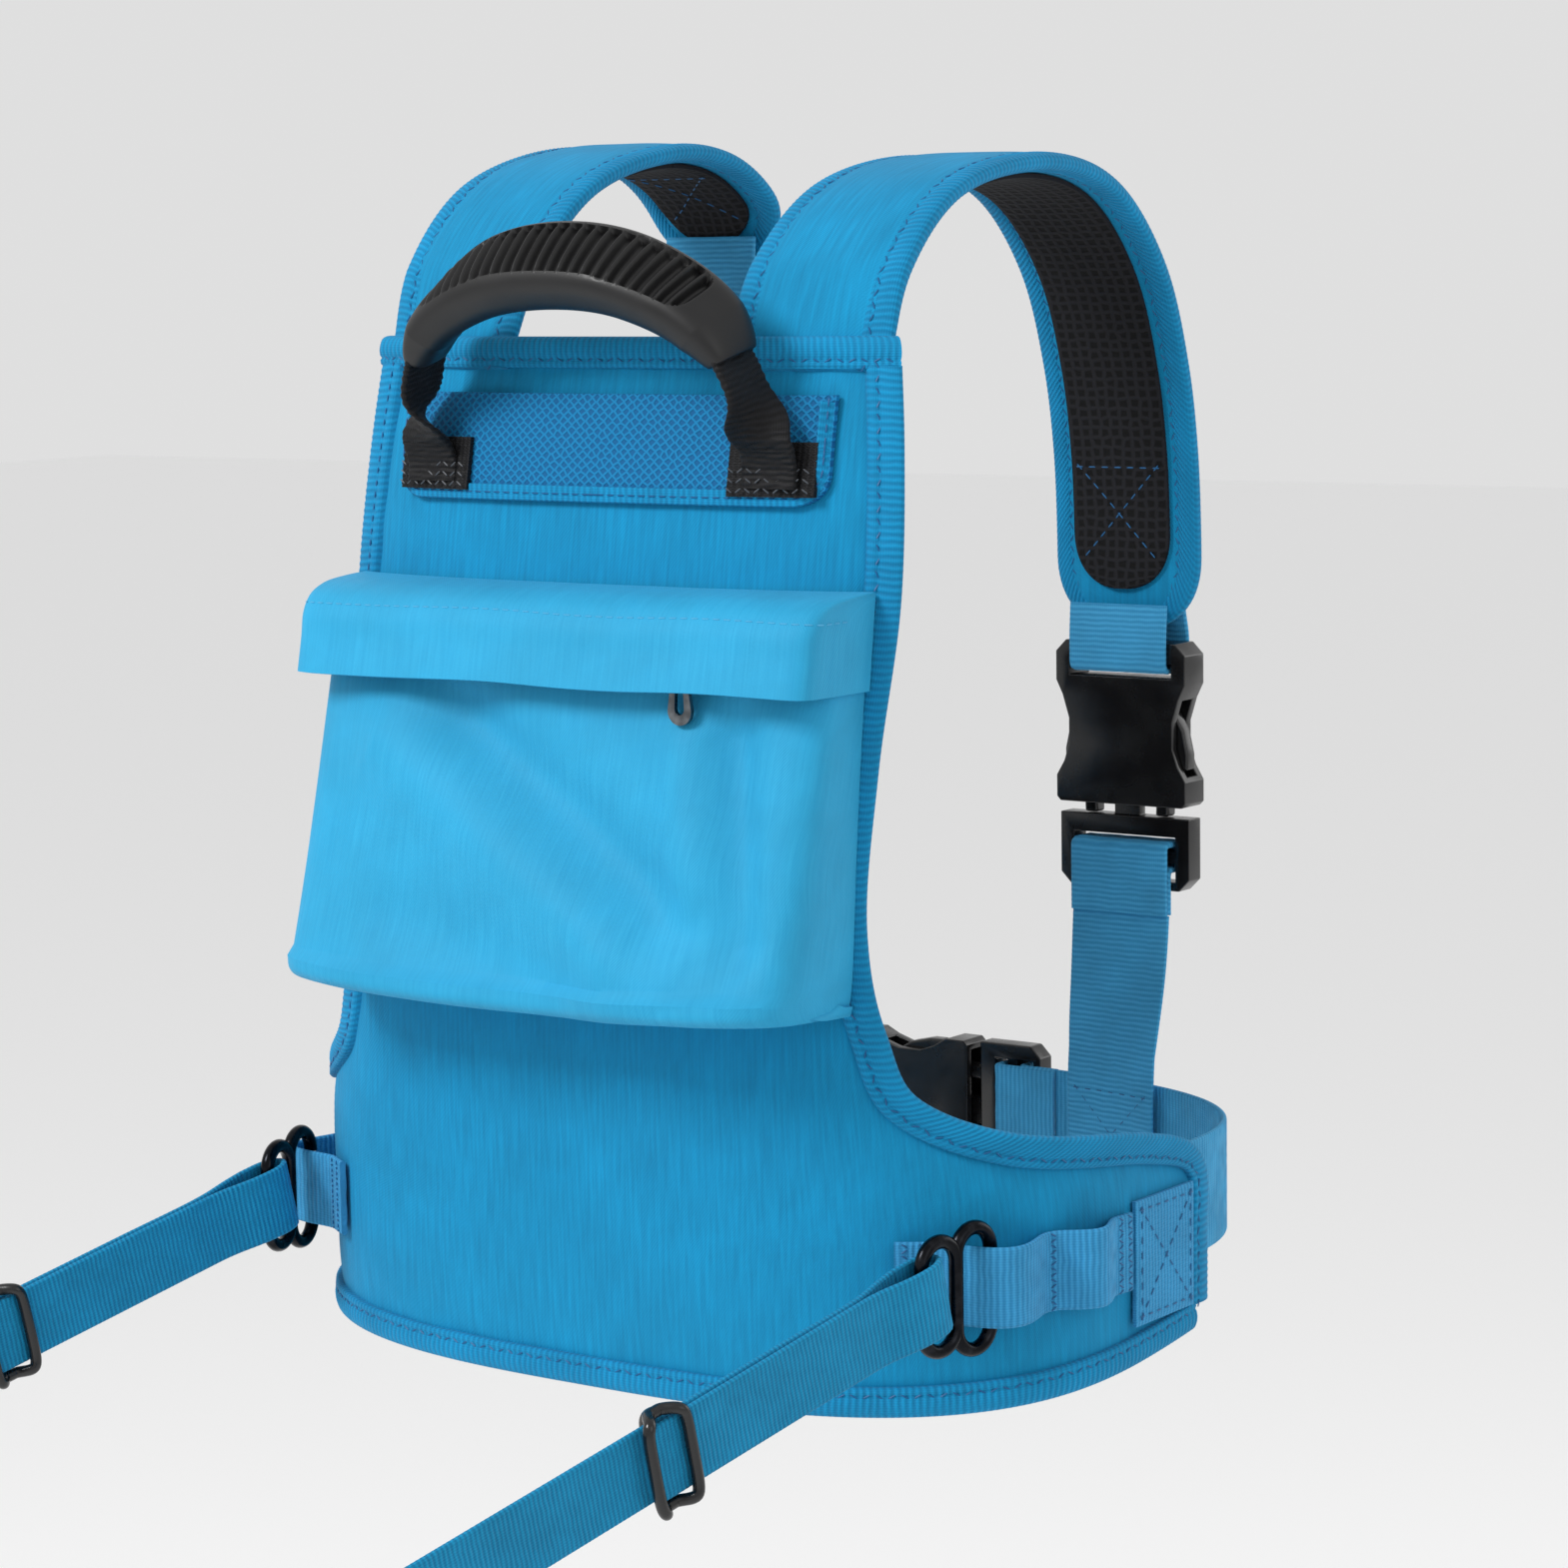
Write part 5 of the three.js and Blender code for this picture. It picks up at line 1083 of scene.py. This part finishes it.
inner = BINDING_PROUD - BINDING_THICK - BELT_CLEAR - TAPE_THICK
for side, sign, start_x in (("right", 1, WAIST_MOUTH_X + LOOP_END + GAP), ("left", -1, tab_end + 2 * GAP)):
    first = 180 - np.degrees(np.arctan2(start_x, front_depth(start_x)))
    angle = np.linspace(first, BELT_SEWN_END, 500)
    ease = np.clip(-np.cos(np.radians(angle)) / 0.8, 0, 1)
    ease = ease ** 2 * (3 - 2 * ease)
    out = inner * (1 - ease) - TAPE_THICK / 2 * ease + TAPE_THICK / 2
    belt = ribbed_tape(f"belt_webbing_{side}", around(sign * angle, 0.0, out), (0, 0, 1), WEB, TAPE_THICK,
                       blue_webbing, WEB_RIB)
    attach(belt, "root")
    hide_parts(f"belt_{side}")
    if side == "right":
        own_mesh(belt)

# ---- pocket ---------------------------------------------------------------------------------------
# An unlined pocket of thin nylon cloth, sewn to the panel as a bellows: deep at the bottom, shallow
# at the zip. It hangs soft, with a crease from its top corner down and a lid that folds over the zip.
POCKET_HALF, POCKET_TOP, POCKET_LOW, POCKET_WALL = 99 * MM, 182 * MM, 76 * MM, 2 * MM
DEPTH_TOP, DEPTH_LOW, POCKET_SEAT, POCKET_FLATNESS = 13 * MM, 36 * MM, 1.2 * MM, 0.6
pocket_cloth = knit_cloth("sky_blue_nylon_cloth", "#2a9cc8", "#2394c1", streak=(0.8 * MM, 26 * MM),
                          weave=0.7 * MM, roughness=0.62)


def pocket_depth(z):
    """The bag's depth at a height: from deep to shallow as share of the height ^ 0.8."""
    share = np.clip((z - POCKET_LOW) / (POCKET_TOP - POCKET_LOW), 0, 1)
    return DEPTH_LOW + (DEPTH_TOP - DEPTH_LOW) * share ** 0.8


def u_section(columns, power=7):
    """Half of a superellipse from the panel out over the face and back: |x| ^ n + |out| ^ n = 1, its
    points spread evenly by distance."""
    a = np.linspace(0, pi, 400)
    r = (np.abs(np.cos(a)) ** power + np.sin(a) ** power) ** (-1 / power)
    return spaced(np.stack([-r * np.cos(a), r * np.sin(a)], 1) * [1, 0.35], columns) / [1, 0.35]


def bellows(out, z, half, columns, flatness, power=7):
    """Rows of points, one for each (out, z): each spans the pocket's width as a u_section() from its
    seat on the panel to a face that keeps a share of the back's curve."""
    section = u_section(columns, power)
    x = half[:, None] * section[:, 0]
    z = np.broadcast_to(z[:, None], x.shape)
    seat = on_back(x, z, POCKET_SEAT)[..., 1]
    face = on_back(x * flatness[:, None], z, POCKET_SEAT)[..., 1] - out[:, None]
    share = section[:, 1]
    return np.stack([x, seat * (1 - share) + face * share, z], -1), share


def crease(x, z, a, b, wide):
    """How near points are to the line from a to b: exp(-(distance / wide) ^ 2), fading at its ends."""
    a, b = np.array(a) * MM, np.array(b) * MM
    way, long = (b - a) / np.linalg.norm(b - a), np.linalg.norm(b - a)
    s = ((x - a[0]) * way[0] + (z - a[1]) * way[1]) / long
    off = (x - a[0]) * -way[1] + (z - a[1]) * way[0]
    fade = np.clip(s / 0.15, 0, 1) * np.clip((1 - s) / 0.15, 0, 1)
    return np.exp(-(off / (wide * MM)) ** 2) * fade


low_face = np.array([(0.2, 2.5), (6, 0.8), (18, 0), (28, -0.3), (33, 0.5), (35.6, 3), (36.2, 7)]) * MM
climb = np.linspace(10 * MM, POCKET_TOP - POCKET_LOW, 90)
profile = np.vstack([smooth_line(low_face, 46), np.stack([pocket_depth(POCKET_LOW + climb), climb], 1)])
out, z = profile[:, 0], POCKET_LOW + profile[:, 1]
half = np.full(len(z), POCKET_HALF) - 1.5 * MM * np.exp(-(z - POCKET_LOW) / (6 * MM))
bag, share = bellows(out, z, half, 190, np.full(len(z), POCKET_FLATNESS))
x, z_grid = bag[..., 0], bag[..., 2]
# Each fold: its height in millimetres, below nought for a valley, its two ends and its width.
FOLDS = [(6.5, (-88, 166), (62, 84), 16), (-6.5, (-58, 176), (84, 88), 11), (4.0, (50, 172), (66, 82), 10),
         (-5.5, (68, 174), (84, 86), 8), (-2.8, (-70, 104), (40, 80), 12)]
soft = sum(high * crease(x, z_grid, first, last, wide) for high, first, last, wide in FOLDS)
soft = (soft + 1.4 * ripples(x, z_grid * 0.7, 70 * MM, 6, 31)
        + 0.15 * ripples(x, z_grid, 22 * MM, 6, 32)) * MM
sag = 2.2 * MM * np.sin(np.clip((z_grid - POCKET_LOW) / (POCKET_TOP - POCKET_LOW), 0, 1) * pi)
weight = share ** 3 * np.clip((out[:, None] - 4 * MM) / (14 * MM), 0, 1)
bag[..., 1] -= (soft - sag) * weight
droop = 3 * MM * (1 - (x / POCKET_HALF) ** 2) * np.clip(1 - (z_grid - POCKET_LOW) / (30 * MM), 0, 1)
bag[..., 2] -= droop * share ** 2 - 1.2 * MM * share * np.exp(-(z_grid - POCKET_LOW) / (10 * MM))
normal = unit(np.cross(np.gradient(bag, axis=1), np.gradient(bag, axis=0)))
normal *= -np.sign(np.sum(normal[60, 95] * [0, -1, 0]))
bag_piece = slab("pocket_bag_cloth", bag, bag + normal * POCKET_WALL * 0.6, pocket_cloth)
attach(bag_piece, "root")
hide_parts("pocket_bag")

# The zip: a black woven tape with a coil of nylon teeth, a die-cast slider and its drop puller.
ZIP_HALF, ZIP_TALL = POCKET_HALF - 6 * MM, 5 * MM
zip_y = -(back_depth(POCKET_TOP) + POCKET_SEAT + DEPTH_TOP)
tape_line = np.stack([np.linspace(-ZIP_HALF, ZIP_HALF, 200), np.full(200, zip_y + 1 * MM),
                      np.full(200, POCKET_TOP + GAP + ZIP_TALL / 2)], 1)
zip_tape = ribbed_tape("zip_tape_webbing", tape_line, (0, 0, 1), ZIP_TALL, 1.6 * MM, black_webbing, 1.2 * MM)
teeth_line = tape_line + [0, -1.0 * MM, 0]
teeth = stitches("zip_coil_teeth", teeth_line, (0, -1, 0), sewing_thread("black_nylon_coil", "#141416"),
                 stitch=1.9 * MM, gap=-0.7 * MM, thread=0.8 * MM, slant=62)
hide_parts("zip_tape")
for thing in (zip_tape, teeth):
    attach(thing, "root")


def plated_metal(name, colour, roughness):
    """Die-cast zinc with a dark plated finish: mirror-smooth on its crowns, with faint casting waves
    and slightly worn, brighter patches."""
    material = bpy.data.materials.new(name)
    material.use_nodes = True
    tree = material.node_tree
    shader = tree.nodes["Principled BSDF"]
    where = add(tree, "TexCoord").outputs["Object"]
    worn = add(tree, "TexNoise", {"Vector": where, "Scale": 220.0, "Detail": 5.0})
    tone = add(tree, "MapRange", {0: worn.outputs["Fac"], 1: 0.45, 2: 0.75, 3: 0.0, 4: 1.0})
    colour = linear(colour)
    shade = add(tree, "Mix", {0: tone.outputs[0], 6: colour, 7: [c * 2.2 for c in colour[:3]] + [1]},
                data_type="RGBA")
    gloss = add(tree, "MapRange", {0: worn.outputs["Fac"], 1: 0.3, 2: 0.7, 3: roughness,
                                   4: roughness + 0.15})
    wave = add(tree, "TexNoise", {"Vector": where, "Scale": 500.0})
    bump = add(tree, "Bump", {"Height": wave.outputs["Fac"], "Strength": 0.12, "Distance": 0.1 * MM})
    tree.links.new(shade.outputs[2], shader.inputs["Base Color"])
    tree.links.new(gloss.outputs[0], shader.inputs["Roughness"])
    tree.links.new(bump.outputs[0], shader.inputs["Normal"])
    shader.inputs["Metallic"].default_value = 1.0
    return material


gunmetal = plated_metal("gunmetal_plated_zinc", "#5a5d60", 0.25)
for node, body, radius in (("zip_slider", "zip", 0.5), ("zip_puller", "puller", 0.45)):
    thing = rounded_copy(f"{node}_casting", node, radius * MM, gunmetal)
    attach(thing, body)

# The lid: a stiffened band, sewn down along its top and folded over the zip, open below.
FLAP_TOP = 202 * MM
flap_out = DEPTH_TOP + 8.2 * MM + 0.8 * MM + 1.6 * MM
lid = np.array([(0.4, 0), (7, -0.6), (15, -2), (flap_out / MM - 3, -5), (flap_out / MM - 0.3, -10),
                (flap_out / MM, -18), (flap_out / MM + 0.8, -29)]) * MM
lid = smooth_line(lid, 70)
flat = 1 + (POCKET_FLATNESS / 2 - 1) * np.clip(lid[:, 0] / flap_out, 0, 1)
half = np.full(70, POCKET_HALF + 1 * MM)
band, share = bellows(lid[:, 0], FLAP_TOP + lid[:, 1], half, 190, flat, power=16)
band[..., 1] -= 0.5 * MM * ripples(band[..., 0], band[..., 2], 50 * MM, 6, 41) * share
wave = 0.9 * MM * ripples(band[..., 0], band[..., 2] * 0, 70 * MM, 5, 43)
band[..., 2] += wave * np.clip(lid[:, 0] / flap_out, 0, 1)[:, None] ** 2 * share
normal = unit(np.cross(np.gradient(band, axis=1), np.gradient(band, axis=0)))
normal *= -np.sign(np.sum(normal[60, 95] * [0, -1, 0]))
flap = slab("pocket_lid_cloth", band - normal * 0.6 * MM, band + normal * 1.0 * MM, pocket_cloth)
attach(flap, "flap")
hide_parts("pocket_flap")
sky_thread = sewing_thread("sky_blue_polyester_thread", "#49aedb")
ROW_AT = 36                     # the stitched row lies just under the lid's fold
row_line = band[ROW_AT, 12:-12] - normal[ROW_AT, 12:-12] * 0.7 * MM
row = stitches("pocket_lid_stitches", row_line, -normal[ROW_AT, 12:-12], sky_thread)
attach(row, "flap")

# ---- side loops, patches and hooks ----------------------------------------------------------------
# On each wing a 25 mm tape is sewn down in humps that make two loops. Forward of it a square of
# webbing with an X in a box takes the belt's load. A cast double-eye hook hangs in the first loop.
NARROW_WEB, PATCH_WIDE, PATCH_TALL, PATCH_OUT = 25 * MM, 36 * MM, 40 * MM, 1.8 * MM
TALL_EYE, LEASH_EYE, GATE_HALF = 33 * MM, 29 * MM, 11 * MM     # heights of a hook's eyes and half its gate
side_patch_y, side_patch_z = -3 * MM, -11 * MM
# The loop tape's second colour is painted shade in the rib grooves, its first painted light on the crowns.
loop_tape = woven_tape("pale_blue_polyester_loop_tape", "#3c98cb", "#2579a9", 1.9 * MM)
black_metal = plated_metal("black_plated_zinc", "#1b1c1f", 0.16)


def stadium(middle, clear, radius, count=140):
    """A tall rounded slot's outline: two half circles of a radius joined by straight sides."""
    a = np.linspace(0, pi, 40)
    straight = clear / 2 - HOOK_EYE / 2
    top = np.stack([middle + radius * np.cos(a), straight + radius * np.sin(a)], 1)
    low = np.stack([middle - radius * np.cos(a), -straight - radius * np.sin(a)], 1)
    return spaced(np.vstack([top, low, top[:1]]), count)


for side, sign in (("right", 1), ("left", -1)):
    angle = np.linspace(49, 81, 400)
    strip_line = around(sign * angle, LOOP_Z, loop_out(angle) + TAPE_THICK / 2)
    strip = ribbed_tape(f"loop_tape_{side}", strip_line, (0, 0, 1), NARROW_WEB, TAPE_THICK, loop_tape,
                        1.9 * MM)
    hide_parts(f"side_loops_{side}")
    pieces = [strip]
    for number, tack_at in enumerate((50, 52, 67.6, 78.6, 80.4)):
        height = LOOP_Z + np.linspace(-11.5, 11.5, 40) * MM
        line = around(sign * tack_at, height, loop_out(tack_at) + TAPE_THICK + 0.15 * MM)
        pieces.append(stitches(f"loop_bartack_{side}_{number}", line, unit(line * [1, 1, 0]), deep_thread,
                               stitch=2.2 * MM, gap=-0.6 * MM, slant=60))

    y, z = np.meshgrid(np.linspace(-1, 1, 90) * PATCH_WIDE / 2 + side_patch_y,
                       np.linspace(-1, 1, 100) * PATCH_TALL / 2 + side_patch_z)
    weave = 0.1 * MM * np.cos(2 * pi * z / (1.9 * MM)) * np.cos(2 * pi * y / (2.4 * MM))
    rim = np.minimum(PATCH_WIDE / 2 - np.abs(y - side_patch_y), PATCH_TALL / 2 - np.abs(z - side_patch_z))
    press = -0.5 * MM * np.exp(-rim / (1.2 * MM))
    flat = lambda out: np.stack(np.broadcast_arrays(sign * (HALF_WIDTH + GAP + out), y, z), -1)
    pieces.append(slab(f"side_patch_webbing_{side}", flat(PATCH_OUT - 0.1 * MM + weave + press),
                       flat(0.0 * MM), loop_tape))
    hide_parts(f"side_patch_{side}")
    tall, wide = PATCH_TALL / 2 - 3 * MM, PATCH_WIDE / 2 - 3 * MM
    square = [(-1, -1), (1, -1), (1, 1), (-1, 1)]
    runs = [*zip(square, square[1:] + square[:1]), (square[0], square[2]), (square[1], square[3])]
    for number, ends in enumerate(runs):
        at = spaced(np.array(ends, float), 40) * [wide, tall] + [side_patch_y, side_patch_z]
        seam_x = np.full(40, sign * (HALF_WIDTH + GAP + PATCH_OUT + 0.1 * MM))
        line = np.stack([seam_x, at[:, 0], at[:, 1]], 1)
        pieces.append(stitches(f"side_x_stitches_{side}_{number}", line, (sign, 0, 0), deep_thread))
    for thing in pieces:
        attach(thing, "root")

    # The hook: two stadium-shaped eyes of round bar side by side; the tall one opens at a sprung gate.
    eye_at, flat_way = hook_place[side], hook_flat[side]
    lay = lambda flat: eye_at + flat[:, :1] * flat_way + flat[:, 1:] * np.array([0, 0, 1])
    bar_radius, pitch, gate_half = HOOK_BAR / 2, HOOK_EYE + HOOK_BAR, GATE_HALF
    mid = HOOK_EYE / 2 + bar_radius
    tall = stadium(0, TALL_EYE, mid, 240)
    ring = tall[:-1]
    keep = ~((ring[:, 0] > mid * 0.98) & (np.abs(ring[:, 1]) < gate_half))
    first = np.flatnonzero(keep & ~np.roll(keep, 1))[0]
    ring, keep = np.roll(ring, -first, axis=0), np.roll(keep, -first)
    pieces = [rod(f"hook_tall_eye_{side}", lay(ring[keep]), bar_radius, black_metal, closed=False),
              rod(f"hook_leash_eye_{side}", lay(stadium(-pitch, LEASH_EYE, mid, 200)), bar_radius,
                  black_metal, closed=True)]
    for thing in pieces:
        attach(thing, "root")
    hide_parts(f"hook_frame_{side}")
    gate_y = np.linspace(-gate_half + 0.5 * MM, gate_half - 0.5 * MM, 30)
    gate_line = np.stack([np.full(30, mid), gate_y], 1)
    gate = rod(f"hook_gate_bar_{side}", lay(gate_line), bar_radius * 0.82, black_metal, closed=False)
    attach(gate, f"gate_{side}")
    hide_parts(f"hook_gate_{side}")
